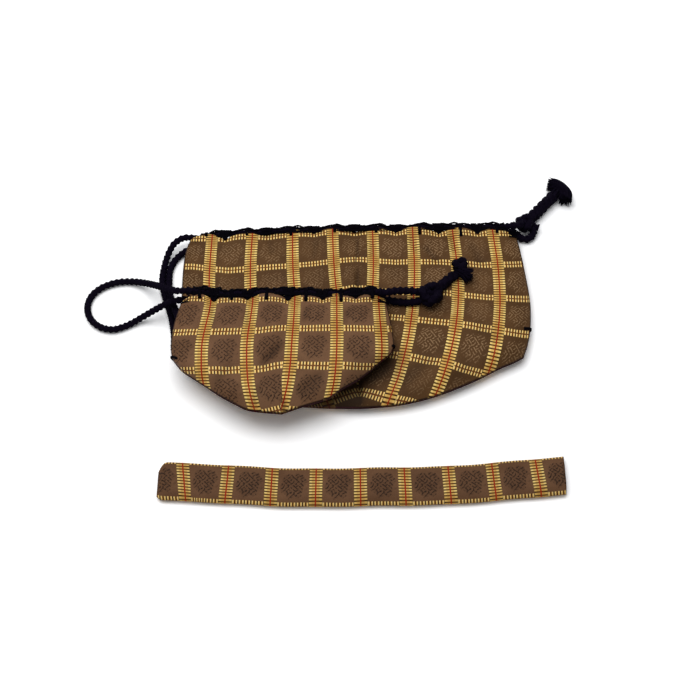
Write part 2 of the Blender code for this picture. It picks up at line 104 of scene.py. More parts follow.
# Routes of the lacing: an arch, as ways across, up and out from the cord's middle, and a straight stitch, as
# ways up and out from the cord's middle and then from its lowest point in the cloth
ARCH = (
    (-3.2, 1.1, 1.3), (-2.2, 1.9, 0.8), (-1.1, 2.6, 0.5), (0, 2.9, 0.4), (1.1, 2.5, 0.5), (2.0, 1.8, 0.8),
    (3.0, 1.0, 1.3),
)
BAR_OVER_CORD = ((1.1, -1.7), (2.0, 0.3), (0.9, 1.9), (-1.0, 1.8))
BAR_IN_CLOTH = ((2.1, 0.3), (0.9, 0.2), (0.6, -0.5))
STITCH_THICK = 0.9
STITCH_STEP = 0.3
THREAD_SIDES = 8
# Where a cord's run along a lip ends, how far it goes on straight, and how much the front run has sunk
RUN_OVERHANG = 2.0
LEAD_STRAIGHT = 2.0
FRONT_RUN_DROP = 0.8
# Left of these places the back lip and the cord along it hang down, fully after this width
LIP_DROOP_START = -50
CORD_DROOP_START = -60
DROOP_WIDTH = 24
# How far below the mouth the lip's arches and dips fade out, how far from its left end a cord's shift does,
# and how clear of the table a cord stays
LIP_FADE = 9
SHIFT_FADE = 16
TABLE_GAP = 0.1

# The two pouches, as measured on the photograph. x, y and turn place the foot on the table, and rest is the
# height of what the pouch lies on. The outline goes from the mouth down each side and on to the middle of the
# foot, in shares of half the width and of the height. The loop is given from the left end of the cord's run,
# and the leads, knot, stub, tail, ball and tufts from its right end. A tuft is a line, a radius and a count
# of fibres. cord_line and lip are heights along the front lip. dips are the stitches that pull it down:
# place, depth and lowest point. bars are straight stitches: place and lowest point. At arches the lacing
# bows up.
BOWL = dict(
    name="bowl_pouch",
    width=184.4,
    height=106.7,
    x=-0.7,
    y=-30.4,
    turn=math.radians(1.5),
    rest=0.0,
    left=[
        (0.96, 1.0), (0.988, 0.945), (1.0, 0.86), (1.004, 0.75), (1.002, 0.58), (0.99, 0.43), (0.965, 0.33),
        (0.93, 0.265),
    ],
    right=[
        (0.96, 1.0), (0.975, 0.9), (0.99, 0.75), (1.0, 0.58), (0.985, 0.43), (0.96, 0.335), (0.928, 0.262),
    ],
    left_foot=[
        (0.93, 0.265), (0.85, 0.195), (0.756, 0.14), (0.63, 0.088), (0.47, 0.037), (0.22, 0.009), (0, 0),
    ],
    right_foot=[
        (0.928, 0.262), (0.87, 0.234), (0.794, 0.205), (0.675, 0.15), (0.571, 0.108), (0.451, 0.066),
        (0.333, 0.034), (0.19, 0.01), (0, 0),
    ],
    loop=[
        (-5.6, -0.5, 9.2), (-8.6, -2.3, 7.9), (-11.5, -5.1, 6.2), (-13.8, -8.8, 4.6), (-15.5, -13.3, 3.1),
        (-16.6, -18.3, 2.2), (-17.2, -23.7, 1.8), (-17.0, -29.1, 1.8), (-15.9, -34.3, 1.8),
        (-14.5, -39.3, 1.8), (-13.0, -44.5, 1.8), (-11.5, -49.7, 1.8), (-10.5, -54.6, 1.8),
        (-9.8, -59.1, 1.8), (-9.4, -63.1, 1.8), (-9.3, -66.5, 1.8), (-9.3, -69.6, 2.0), (-8.4, -72.1, 3.5),
        (-7.0, -73.0, 6.0), (-5.5, -72.2, 8.5), (-4.6, -69.7, 10.1), (-4.3, -66.6, 10.3), (-4.5, -62.9, 10.3),
        (-5.9, -58.5, 10.0), (-7.4, -53.8, 9.0), (-8.8, -49.0, 7.6), (-10.5, -44.1, 6.3), (-11.9, -39.5, 5.1),
        (-12.9, -34.8, 3.9), (-13.4, -29.9, 2.8), (-13.7, -24.7, 2.0), (-13.4, -19.9, 1.8),
        (-12.2, -15.6, 1.8), (-10.1, -11.8, 1.8), (-7.4, -8.9, 2.1), (-4.6, -7.2, 2.7),
    ],
    loop_far_axis=1,
    front_lead=[(3.8, 0.9, 8.6), (4.7, 1.8, 8.0)],
    back_lead=[(4.7, -2.8, 2.1), (8.0, -3.9, 1.8), (10.9, -2.3, 2.1), (12.2, 1.0, 3.1)],
    knot=(7.8, 4.9, 5.2),
    knot_radius=4.6,
    knot_braid=4.0,
    twist=1.4,
    tail=[(11.2, 8.9, 3.7), (25.2, 23.9, 3.7)],
    tufts=[
        (
            [
                (25.4, 31.7, 4.5), (27.6, 31.0, 4.5), (29.9, 29.1, 4.5), (31.6, 26.5, 4.5), (32.3, 24.0, 4.5),
                (32.0, 22.0, 4.5),
            ],
            3.8, 190,
        ),
        ([(23.6, 22.2, 3.7), (26.6, 25.4, 4.0), (29.2, 28.2, 4.3)], 2.8, 70),
    ],
    ball=None,
    stub=[(9.5, 4.6, 4.6), (12.4, 3.6, 4.0), (15.4, 2.7, 3.6)],
    side_stitch=0.22,
    stitch_reach=(4.0, 4.0),
    left_shift=(0.0, -1.6, -3.0),
    back_droop=6.6,
    corner_rise=0.4,
    corner_lift=1.8,
    band=3.8,
    band_drop=0.2,
    lace=1.1,
    low_laces=(-1.3, -2.2),
    stitch_halves=(2.7, 1.6, 0.7),
    cord_line=[
        (-86.5, 107.9), (-78.2, 108.3), (-70, 108.4), (-56.4, 109.3), (-41, 109.9), (-29.3, 109.9),
        (-10.2, 110.5), (25.2, 110.1), (52.4, 110.0), (79.7, 109.4), (86.5, 110.0),
    ],
    lip=[
        (-88, 106.9), (-77, 107.3), (-61.8, 107.0), (-37.4, 108.8), (-14, 109.3), (9.9, 109.4), (31.7, 109.0),
        (55.4, 108.3), (74.5, 107.4), (85.7, 106.2),
    ],
    dips=[
        (-69.8, 3.2, 103.9), (-47.4, 0.8, 107.6), (-21.8, 1.6, 107.0), (0.3, 1.5, 107.6), (22.7, 2.5, 106.6),
        (46.0, 2.6, 105.8), (67.0, 2.5, 104.7),
    ],
    bars=[
        (-79.9, 105.6), (-58.0, 105.5), (-34.2, 105.2), (-10.5, 106.6), (12.0, 105.8), (35.5, 103.9),
        (57.9, 102.2), (77.6, 104.0),
    ],
    arches=[-75.2, -57.5, -30.3, -9.1, 14.5, 38.3, 54.9, 75.9],
)
CADDY = dict(
    name="caddy_pouch",
    width=114.8,
    height=66.7,
    x=-39.6,
    y=-39.6,
    turn=0.0,
    rest=POUCH_THICK + SEAT_GAP,
    left=[
        (0.925, 1.0), (0.955, 0.93), (0.99, 0.79), (1.0, 0.65), (0.998, 0.545), (0.975, 0.47), (0.93, 0.42),
    ],
    right=[(0.915, 1.0), (0.95, 0.86), (0.975, 0.7), (0.983, 0.6), (0.955, 0.525)],
    left_foot=[
        (0.93, 0.42), (0.87, 0.362), (0.81, 0.32), (0.68, 0.24), (0.54, 0.152), (0.405, 0.082), (0.27, 0.027),
        (0, 0),
    ],
    right_foot=[
        (0.955, 0.525), (0.85, 0.445), (0.76, 0.366), (0.65, 0.286), (0.51, 0.207), (0.4, 0.13),
        (0.19, 0.065), (0, 0),
    ],
    loop=[
        (-5.3, 0.6, 19.8), (-8.2, 2.5, 18.3), (-11.2, 5.3, 15.9), (-14.4, 8.5, 12.9), (-18.0, 11.8, 9.7),
        (-22.2, 15.0, 6.5), (-27.3, 17.9, 3.7), (-32.9, 19.5, 2.1), (-38.9, 19.3, 1.8), (-44.5, 17.6, 1.8),
        (-49.4, 14.6, 1.8), (-53.0, 10.2, 1.8), (-54.5, 4.6, 1.8), (-53.7, -1.2, 1.8), (-50.7, -6.3, 1.8),
        (-45.9, -9.8, 1.8), (-40.1, -11.0, 1.8), (-34.6, -9.5, 1.8), (-29.5, -6.8, 2.2), (-24.3, -4.4, 4.0),
        (-19.2, -3.0, 7.0), (-14.6, -2.0, 9.9), (-10.7, -1.2, 11.8), (-7.4, -0.6, 13.0), (-4.5, -0.2, 13.6),
    ],
    loop_far_axis=0,
    front_lead=[(7.4, 1.4, 19.6), (14.2, 2.3, 18.4), (19.9, 2.3, 17.3)],
    back_lead=[(7.5, -0.8, 13.0), (14.4, -1.2, 12.8), (20.7, -0.3, 13.7)],
    knot=(25.6, 1.5, 16.6),
    knot_radius=5.7,
    knot_braid=4.6,
    twist=0.9,
    tail=[(29.4, 6.6, 14.1), (38.9, 16.0, 13.6)],
    ball=(41.7, 21.2, 15.0),
    ball_radius=4.5,
    stub=[],
    tufts=[
        ([(41.4, 17.6, 14.8), (43.8, 16.3, 14.6), (46.2, 15.8, 14.4)], 3.2, 90),
        ([(42.4, 17.6, 14.4), (44.3, 15.0, 14.2), (45.6, 13.2, 14.0)], 2.5, 60),
    ],
    side_stitch=0.14,
    stitch_reach=(4.0, 0.4),
    left_shift=(0.0, 1.1, 0.0),
    back_droop=0.0,
    corner_rise=0.8,
    corner_lift=0.0,
    band=4.4,
    band_drop=0.35,
    lace=1.4,
    low_laces=(-1.7, -2.5),
    stitch_halves=(2.9, 1.9, 0.8),
    cord_line=[
        (-51.1, 71.1), (-40.4, 70.9), (-31.0, 69.6), (-18.0, 70.0), (-2.5, 71.0), (13.2, 70.3), (26.2, 69.8),
        (42.0, 71.0), (50.5, 70.0),
    ],
    lip=[
        (-53, 67.6), (-40, 67.7), (-27.8, 67.6), (-8.6, 68.3), (10.8, 68.2), (28.3, 68.2), (44, 68.5),
        (52, 68.6),
    ],
    dips=[(-36.5, 3.1, 64.6), (-19.1, 2.2, 65.7), (1.9, 2.9, 65.1), (19.8, 2.6, 65.5), (36.9, 2.2, 66.4)],
    bars=[(-43.9, 65.0), (-27.3, 64.6), (-9.2, 64.0), (11.2, 63.4), (29.3, 63.3), (45.5, 65.2)],
    arches=[-41.5, -15.4, 13.5, 45.0],
)

# Sleeve: its sizes, how far its far side rolls and its ends bend, and how much its corner is cut back
SLEEVE_LENGTH = 201.0
SLEEVE_WIDTH = 20.8
SLEEVE_Y = -73.4
SLEEVE_LINING_THICK = 0.4
SLEEVE_HOLLOW = 1.8
SLEEVE_ROLL = 5.0
SLEEVE_RISE = 6.5
SLEEVE_CORNER = 3.4
SLEEVE_BEND_START_SHARE = -0.12
# Its soft waves, a length, a start and a height each, and its dents and bulges, a place and a height each
SLEEVE_WAVES = ((7.3, 0.6, 0.3), (17.0, 2.0, 0.3))
SLEEVE_DENTS = ((-46, -0.7), (-22, 0.5), (-2, -0.5), (64, -0.7), (-87, -0.6))

# Camera: where it stands over the table, how far it looks down from level, and its view in the photograph
CAMERA_PLACE = (-5.65, -387.7, 633.0)
CAMERA_DOWN = math.radians(58)
FOCAL_PIXELS = 1426
PICTURE_PIXELS = 700
SENSOR_WIDTH = 36.0

# Room: the table's half width and where its backdrop starts, then each lamp's place, width and power
TABLE_HALF = 3000.0
BACKDROP_Y = 1200.0
LAMPS = {
    "overhead": ((-170, 230, 950), 1050, 10.3),
    "front_fill": ((-100, -700, 700), 800, 0.8),
}


# ---- small helpers


def srgb(red, green, blue):
    """A colour given as it looks on a screen, from 0 to 255, as the linear colour that shaders take."""
    shares = [value / 255 for value in (red, green, blue)]
    return tuple(s / 12.92 if s <= 0.04045 else ((s + 0.055) / 1.055) ** 2.4 for s in shares) + (1.0,)


def ease(value):
    """0 up to 0, 1 from 1 on, and a soft rise between."""
    value = np.clip(value, 0, 1)
    return value * value * (3 - 2 * value)


def eased(before, start, end, after, share):
    """The point at this share of the way from start to end, on a smooth curve through all four."""
    steady = 2 * start + (end - before) * share
    curved = (2 * before - 5 * start + 4 * end - after) * share**2
    return 0.5 * (steady + curved + (3 * start - before - 3 * end + after) * share**3)


def smooth(points, pieces=24):
    """A fine row of points on the smooth curve through these."""
    points = [np.array(point, float) for point in points]
    found = []
    for i in range(len(points) - 1):
        before = points[max(0, i - 1)]
        after = points[min(len(points) - 1, i + 2)]
        found += [eased(before, points[i], points[i + 1], after, k / pieces) for k in range(pieces)]
    return np.array(found + [points[-1]])


def distances(points):
    """How far along a row of points each of them is."""
    return np.concatenate([[0], np.cumsum(np.linalg.norm(np.diff(points, axis=0), axis=1))])


def resampled(points, step):
    """Points an even step apart along a row of points."""
    along = distances(points)
    at = np.linspace(0, along[-1], max(2, round(along[-1] / step)) + 1)
    return np.stack([np.interp(at, along, points[:, axis]) for axis in range(3)], 1)


def frames_along(points):
    """Two sideways directions at each point of a path, which turn as little as they can."""
    ahead = np.gradient(points, axis=0)
    ahead /= np.linalg.norm(ahead, axis=1)[:, None]
    start = np.array((0.0, 0.0, 1.0)) if abs(ahead[0][2]) < 0.9 else np.array((1.0, 0.0, 0.0))
    sides = [np.cross(ahead[0], start)]
    for direction in ahead:
        side = sides[-1] - direction * (sides[-1] @ direction)
        sides.append(side / np.linalg.norm(side))
    side = np.array(sides[1:])
    return side, np.cross(ahead, side)


def made_mesh(name, points, faces, material, smooth_faces=True):
    """An object of these points, in millimetres."""
    data = bpy.data.meshes.new(name)
    data.from_pydata((np.asarray(points) * MM).tolist(), [], faces)
    data.materials.append(material)
    made = bpy.data.objects.new(name, data)
    bpy.context.scene.collection.objects.link(made)
    if smooth_faces:
        data.shade_smooth()
    return made


def ring_faces(rings, sides, start=0):
    """The faces of a tube of this many rings, with both ends closed."""
    faces = []
    for ring in range(rings - 1):
        low = start + ring * sides
        for side in range(sides):
            after = (side + 1) % sides
            faces.append((low + side, low + after, low + sides + after, low + sides + side))
    faces.append(tuple(start + side for side in reversed(range(sides))))
    faces.append(tuple(start + (rings - 1) * sides + side for side in range(sides)))
    return faces


def corner_points(made):
    """The number of the point at each corner of each face."""
    numbers = np.zeros(len(made.data.loops), np.int32)
    made.data.loops.foreach_get("vertex_index", numbers)
    return numbers


def set_map(made, name, u, v):
    """Gives each corner of each face its place on a map."""
    layer = made.data.uv_layers.new(name=name)
    layer.data.foreach_set("uv", np.stack([u, v], 1).ravel().astype(np.float32))


def cloth_sheet(name, points, upward, thickness, material):
    """A sheet of cloth whose outer face is this grid of points."""
    rows, columns = points.shape[:2]
    faces = []
    for row in range(rows - 1):
        for column in range(columns - 1):
            a = row * columns + column
            quad = (a, a + 1, a + columns + 1, a + columns)
            faces.append(quad if upward else quad[::-1])
    made = made_mesh(name, points.reshape(-1, 3), faces, material)
    thicken = made.modifiers.new("thickness", "SOLIDIFY")
    thicken.thickness = thickness * MM
    thicken.offset = -1.0
    return made


def swept(name, path, radius_at, sides, material):
    """A tube along a path. radius_at gives the radius at each angle and each distance along."""
    side, lift = frames_along(path)
    along = distances(path)
    angles = np.arange(sides) * 2 * math.pi / sides
    radius = radius_at(angles[None, :], along[:, None])
    points = (
        path[:, None, :]
        + side[:, None, :] * (np.cos(angles)[None, :] * radius)[:, :, None]
        + lift[:, None, :] * (np.sin(angles)[None, :] * radius)[:, :, None]
    )
    made = made_mesh(name, points.reshape(-1, 3), ring_faces(len(path), sides), material)
    corners = corner_points(made)
    set_map(made, "strand", (corners % sides) / sides, along[corners // sides])
    return made


def braid_radius(thickness, pitch):
    """The radius of a round braid of four strands, two each way, each over one and under the next."""
    strand = thickness * 0.3
    middle = thickness / 2 - strand

    def at(angle, along):
        turn = 2 * math.pi * along / pitch
        wave = 0.1 * thickness / 2 * np.cos(2 * (turn - math.pi / 4))
        radius = np.full(np.broadcast(angle, along).shape, thickness * 0.4)
        for number in range(4):
            forward = number < 2
            place = (turn if forward else math.pi / 2 - turn) + math.pi * number
            out = middle + (wave if forward else -wave)
            away = angle - place
            inside = strand**2 - (out * np.sin(away)) ** 2
            reach = out * np.cos(away) + np.sqrt(np.maximum(inside, 0))
            radius = np.maximum(radius, np.where(inside > 0, reach, 0))
        return radius

    return at


def braided(name, path, thickness):
    """A braided cord along a path."""
    return swept(name, path, braid_radius(thickness, BRAID_PITCH * thickness / CORD_THICK), BRAID_SIDES, CORD)


def thread(name, path, thickness):
    """A two-ply thread along a path."""

    def at(angle, along):
        return thickness / 2 * (0.92 + 0.1 * np.cos(2 * (angle - 2 * math.pi * along / (3 * thickness))))

    return swept(name, path, at, THREAD_SIDES, THREAD)


def joined(name, made):
    """Several tubes as one object."""
    for item in bpy.context.scene.objects:
        item.select_set(False)
    for item in made:
        item.select_set(True)
    bpy.context.view_layer.objects.active = made[0]
    bpy.ops.object.join()
    made[0].name = name
    made[0].data.name = name
    return made[0]


def dress(piece, body, slot, *nodes):
    """The piece rides on this body and stands for these CAD nodes, which are hidden; slot is not used."""
    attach(piece, body)
    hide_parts(*nodes)
    return piece


# ---- materials


# The weave's figures, in checks: half the width of a gold stripe, of its darker middle and of its red line,
# the inner and outer edge of a row of ticks, and the place of the brackets beside the stripe
STRIPE_HALF = 0.146
STRIPE_TEETH = 0.088
RED_HALF = 0.016
ROW_INNER = 0.016
ROW_OUTER = 0.088
BRACKET_AT = 0.158
# How many rungs, ticks and threads a check has
RUNGS = 13.5
TICKS = 14.0
THREADS = 88.0
# A check's sides on the sleeve, along it and round it
SLEEVE_CHECK = 21.9
SLEEVE_CHECK_ROUND = 22.0

SURFACE_NAMES = {"sheen": "Sheen Weight", "specular": "Specular IOR Level"}


def put(tree, value, place):
    """Puts a number or a colour in an input, or links what gives one to it."""
    source = value.socket if isinstance(value, Wire) else value
    if isinstance(source, bpy.types.NodeSocket):
        tree.links.new(source, place)
    else:
        place.default_value = source


def operation(kind):
    """A method that adds a node of this kind of sum."""
    return lambda wire, *others: wire.op(kind, *others)


class Wire:
    """A number in a node tree, so that a pattern can be written as a sum."""

    def __init__(self, tree, socket):
        self.tree = tree
        self.socket = socket

    def op(self, kind, *others):
        node = self.tree.nodes.new("ShaderNodeMath")
        node.operation = kind
        for place, value in zip(node.inputs, (self, *others)):
            put(self.tree, value, place)
        return Wire(self.tree, node.outputs[0])

    __add__ = operation("ADD")
    __sub__ = operation("SUBTRACT")
    __mul__ = operation("MULTIPLY")
    __truediv__ = operation("DIVIDE")
    fract = operation("FRACT")
    size = operation("ABSOLUTE")
    most = operation("MAXIMUM")
    least = operation("MINIMUM")

    def flipped(self):
        return (self * -1.0) + 1.0

    def step(self, edge, soft):
        """0 below the edge and 1 above it, eased over this width on both sides."""
        node = self.tree.nodes.new("ShaderNodeMapRange")
        node.interpolation_type = "SMOOTHSTEP"
        for place, value in zip(node.inputs, (self, edge - soft, edge + soft)):
            put(self.tree, value, place)
        return Wire(self.tree, node.outputs[0])

    def below(self, edge, soft):
        """1 below the edge and 0 above it, eased in the same way."""
        return self.step(edge, soft).flipped()

    def to_nearest(self):
        """How far this is from the nearest whole number."""
        return ((self + 0.5).fract() - 0.5).size()


class Shader:
    """A material under construction."""

    def __init__(self, name):
        self.material = bpy.data.materials.new(name)
        self.material.use_nodes = True
        self.tree = self.material.node_tree
        self.surface = self.tree.nodes["Principled BSDF"]

    def node(self, kind, **values):
        made = self.tree.nodes.new(kind)
        for key, value in values.items():
            setattr(made, key, value)
        return made

    def put(self, value, place):
        put(self.tree, value, place)

    def wire(self, socket):
        return Wire(self.tree, socket)

    def split(self, place):
        """The first two parts of a place."""
        node = self.node("ShaderNodeSeparateXYZ")
        self.put(place, node.inputs[0])
        return self.wire(node.outputs[0]), self.wire(node.outputs[1])

    def uv(self, name):
        return self.split(self.node("ShaderNodeUVMap", uv_map=name).outputs[0])

    def object_place(self):
        return self.node("ShaderNodeTexCoord").outputs["Object"]

    def point(self, x, y):
        node = self.node("ShaderNodeCombineXYZ")
        self.put(x, node.inputs[0])
        self.put(y, node.inputs[1])
        return node.outputs[0]

    def noise(self, place, scale, detail=2.0):
        node = self.node("ShaderNodeTexNoise")
        for name, value in (("Vector", place), ("Scale", scale), ("Detail", detail)):
            self.put(value, node.inputs[name])
        return self.wire(node.outputs[0])

    def mixed(self, share, low, high):
        """A colour between two."""
        node = self.node("ShaderNodeMix", data_type="RGBA")
        for value, number in ((share, 0), (low, 6), (high, 7)):
            self.put(value, node.inputs[number])
        return node.outputs[2]

    def finish(self, colour, roughness, height, distance, **others):
        """The material, with this colour, roughness and bump."""
        bump = self.node("ShaderNodeBump")
        bump.inputs["Distance"].default_value = distance
        self.put(height, bump.inputs["Height"])
        self.put(bump.outputs[0], self.surface.inputs["Normal"])
        self.put(colour, self.surface.inputs["Base Color"])
        self.put(roughness, self.surface.inputs["Roughness"])
        for name, value in others.items():
            self.surface.inputs[SURFACE_NAMES[name]].default_value = value
        return self.material


def brocade(name, ground, ground_lit, line, line_share, disc_share, blotch_share, line_count, gold_shade):
    """Brown damask checked with gold ladder stripes one way and two rows of gold ticks the other way."""
    shader = Shader(name)
    u, v = shader.uv("weave")
    place = shader.point(u, v)
    wobble = (shader.noise(place, 9.0) - 0.5) * 0.012
    signed = (u + wobble + 0.5).fract() - 0.5
    across = signed.size()
    down = (v + wobble).to_nearest()

    # The gold stripe: rungs on a dark ground, brighter at the edges, with a red line in the middle
    ladder = across.below(STRIPE_HALF, 0.006)
    beside_ladder = ladder.flipped()
    outer = across.step(STRIPE_TEETH, 0.016)
    rung = (v * RUNGS).to_nearest().below(0.29, 0.07)
    red = across.below(RED_HALF, 0.004) * ladder

    # The two rows of ticks on a dark band, with a thin line between them, and brackets beside the stripe
    near_row = down.below(ROW_OUTER, 0.007)
    row = down.step(ROW_INNER, 0.006) * near_row * beside_ladder
    tick = (u * TICKS + 0.5).to_nearest().below(0.26, 0.06) * row
    warm = (u * (TICKS / 2)).to_nearest().step(0.25, 0.1)
    thin = down.below(0.014, 0.006) * beside_ladder
    bracket = (signed - BRACKET_AT).size().below(0.009, 0.004) * near_row

    # The motif: strokes that slant both ways in patches, with gaps and blotches, inside a soft disc
    cell_u = u.fract() - 0.5
    cell_v = v.fract() - 0.5
    cell = shader.point(cell_u, cell_v)
    bend = shader.noise(cell, 6.0) - 0.5
    bent_u = cell_u + bend * 0.11
    bent_v = cell_v - bend * 0.09
    mask = shader.noise(cell, 7.0, 0.0)
    rising = ((bent_u + bent_v) * line_count).to_nearest().below(0.15, 0.08) * mask.step(0.5, 0.03)
    falling = ((bent_u - bent_v) * line_count).to_nearest().below(0.15, 0.08) * mask.below(0.53, 0.03)
    gaps = shader.noise(cell, 19.0, 0.0)
    blotch = gaps.step(0.62, 0.04) * (blotch_share * 0.45)
    disc = ((cell_u * cell_u + cell_v * cell_v) / 0.1 + bend * 2.0).below(0.85, 0.15)
    motif = (rising.most(falling) * gaps.step(0.4, 0.05)).most(blotch) * disc

    # The ground: grain and speckle of the weave, and patches of painted sheen towards the lighter lit colour
    grain = shader.noise(place, 30.0, 3.0)
    speck = shader.noise(place, 75.0)
    sheen_patch = shader.noise(place, 1.3).step(0.5, 0.22)
    cloth = shader.mixed((sheen_patch * 0.35 + grain * 0.3 + speck.step(0.5, 0.14) * 0.35), ground, ground_lit)
    # How strongly the figure shows: more where painted sheen falls in patches, and with the speckle
    lit = shader.noise(place, 0.8, 1.0).step(0.5, 0.16) * 0.6 + speck.step(0.4, 0.2) * 0.3 + 0.1
    cloth = shader.mixed((motif * lit.most(blotch_share) + disc * disc_share) * line_share, cloth, line)

    def gold(*parts):
        return srgb(*[round(value * gold_shade) for value in parts])

    # shine is a painted highlight on the gold threads, in patches and away from the rows of ticks
    shine = shader.noise(place, 5.0).step(0.5, 0.3) * 0.4 + down.step(0.24, 0.1) * 0.6
    teeth = shader.mixed(rung, gold(54, 32, 8), shader.mixed(shine, gold(214, 168, 84), gold(255, 222, 136)))
    inner = shader.mixed(rung, gold(94, 54, 16), shader.mixed(shine, gold(198, 150, 72), gold(232, 188, 102)))
    stripe = shader.mixed(red, shader.mixed(outer, inner, teeth), srgb(150, 38, 8))
    tick_colour = shader.mixed(warm, gold(255, 226, 148), gold(242, 188, 98))
    for share, colour in (
        (row * 0.95, srgb(70, 38, 15)),
        (thin * 0.85, srgb(112, 62, 24)),
        (tick, tick_colour),
        (ladder, stripe),
        (bracket * 0.8, gold(236, 206, 130)),
    ):
        cloth = shader.mixed(share, cloth, colour)

    # The seam attribute marks the seams, which are purple, and the painted shade of creases and fold shadows,
    # which is dark brown
    seam = shader.wire(shader.node("ShaderNodeAttribute", attribute_name="seam").outputs["Fac"])
    dark = shader.mixed(seam.step(0.87, 0.08), srgb(24, 13, 6), srgb(58, 26, 38))
    cloth = shader.mixed((seam * 1.12).least(0.88), cloth, dark)

    threads = (u * THREADS).to_nearest() * 0.12 + (v * THREADS).to_nearest() * 0.12
    height = rung * ladder * 0.8 + tick * 0.8 + motif * 0.25 + threads + grain * 0.2
    return shader.finish(cloth, (ladder.most(tick) * -0.12) + 0.66, height, 0.0002, specular=0.1)


def silk_yarn(name, colour, tint):
    """Black silk yarn, with its fibres along each strand."""
    shader = Shader(name)
    turn, along = shader.uv("strand")
    fibres = shader.noise(shader.point(turn * 30.0, along * 1.6), 1.0, 3.0)
    blotch = shader.noise(shader.object_place(), 260.0)
    shade = shader.mixed(fibres * 0.6 + blotch * 0.4, colour, tint)
    return shader.finish(shade, 0.85, fibres, 0.00012, specular=0.03)


def plain_cloth(name, colour, tint, roughness, thread_scale):
    """Plain woven silk or wadding."""
    shader = Shader(name)
    place = shader.object_place()
    x, y = shader.split(place)
    weave = (x * thread_scale).to_nearest() + (y * thread_scale).to_nearest()
    soft = shader.noise(place, 140.0, 4.0)
    shade = shader.mixed(soft * 0.7 + weave * 0.3, colour, tint)
    return shader.finish(shade, roughness, weave * 0.5 + soft * 0.5, 0.00015, sheen=0.1)


# The pieces' ground and figure colours differ by painted sheen: the figure is painted light on the large
# pouch and dark on the small pouch and the sleeve
BROCADES = {
    "bowl_pouch": brocade(
        "bowl_brocade", srgb(64, 42, 21), srgb(102, 71, 40), srgb(176, 142, 104), 0.58, 0.0, 0.0, 10.4, 1.0
    ),
    "caddy_pouch": brocade(
        "caddy_brocade", srgb(86, 58, 37), srgb(126, 92, 66), srgb(28, 14, 7), 0.95, 0.1, 0.85, 9.6, 0.98
    ),
    "scoop_sleeve": brocade(
        "sleeve_brocade", srgb(76, 50, 32), srgb(114, 81, 56), srgb(24, 13, 7), 0.95, 0.18, 0.85, 9.6, 0.9
    ),
}
# The braid's purple tint is partly the yarn's own colour and partly painted highlight
CORD = silk_yarn("black_braid", srgb(2, 1, 3), srgb(20, 14, 31))
THREAD = silk_yarn("black_thread", srgb(2, 1, 3), srgb(11, 8, 16))
LINING = plain_cloth("brown_silk", srgb(88, 60, 40), srgb(116, 82, 56), 0.5, 3400.0)
WADDING = plain_cloth("cotton_wadding", srgb(214, 206, 190), srgb(238, 234, 224), 0.95, 900.0)


# ---- pouches


def bump_at(x, y, spot):
    """A soft swelling: middle, half sizes and height."""
    across, up, half_across, half_up, height = spot
    away = ((x - across) / half_across) ** 2 + ((y - up) / half_up) ** 2
    return height * np.exp(-1.5 * away)


def crease_at(x, y, crease):
    """A crease along a line: its two ends, its width and its height, which is below 0 for a valley."""
    x0, y0, x1, y1, width, height = crease
    length = math.hypot(x1 - x0, y1 - y0)
    along = ((x - x0) * (x1 - x0) + (y - y0) * (y1 - y0)) / length**2
    across = ((x - x0) * (y1 - y0) - (y - y0) * (x1 - x0)) / length
    ends = ease(along / 0.3) * ease((1 - along) / 0.3)
    return height * np.exp(-((across / width) ** 2)) * ends


# Soft swells of the fronts: middle, half sizes and height
SWELLS = {
    "bowl_pouch": [
        (58, 48, 28, 38, 2.1), (20, 86, 60, 12, 0.9), (-60, 86, 36, 12, 0.7), (2, 14, 26, 16, -1.2),
    ],
    "caddy_pouch": [
        (-2, 34, 46, 24, 1.8), (30, 28, 18, 16, 0.6), (-30, 44, 12, 12, 0.5), (8, 50, 10, 8, -0.5),
    ],
}
# Creases of the fronts: two ends, width and height. Their valleys also get painted shade
CREASES = {
    "bowl_pouch": [
        (1.9, 105, 1.4, 88, 1.1, -1.3), (3.6, 105, 3.2, 90, 1.6, 0.6), (1.6, 86, 0.4, 60, 1.1, -1.3),
        (-1.0, 86, -2.0, 62, 1.6, 0.5), (37, 98, 46, 84, 1.7, -1.1), (41, 98, 50, 86, 1.7, 0.6),
        (52, 106, 54, 90, 1.5, -1.2), (49, 104, 50, 92, 1.8, 0.7), (30, 104, 34, 90, 1.7, -0.9),
        (62, 102, 68, 80, 2.4, -0.8), (-20, 104, -22, 88, 1.6, -0.7), (-46, 104, -44, 92, 1.8, -0.6),
        (10, 103, 9, 88, 1.6, -0.8), (0, -1, 0, 18, 1.1, -1.8), (18, 8, 42, 30, 4.0, -0.9),
        (44, 8, 60, 26, 3.4, -0.7), (20, 66, 44, 58, 3.0, -0.7), (60, 44, 76, 34, 3.0, -0.6),
        (-20, -4, 26, 37, 7.0, -1.5),
    ],
    "caddy_pouch": [
        (-13, 22, 2, 40, 2.2, -1.2), (-17, 30, -3, 45, 2.6, 0.7), (-15, 1, -10, 16, 1.9, -0.9),
        (1, -4, 1, 9, 1.0, -1.5), (6, 6, 24, 24, 3.2, -0.8), (-36, 12, -24, 28, 2.6, -0.8),
        (32, 20, 48, 34, 3.2, -0.8), (-20, 60, -18, 46, 1.6, -0.8), (12, 62, 10, 50, 1.6, -0.8),
        (-38, 62, -35, 48, 1.6, -0.8), (33, 62, 31, 48, 1.8, -0.7), (-6, 22, 10, 20, 2.4, 0.6),
    ],
}
# Puckers below the mouth: height, how far down they fade, waves per stitch and where the first one starts
PUCKERS = ((-0.5, 7, 1, 0), (-0.2, 3.5, 2, 0), (0.25, 14, 0.63, 1.3))
# Puckers along the seams: height, how far in they lie and how far apart they are
SEAM_PUCKERS = (0.12, 3, 5.5)
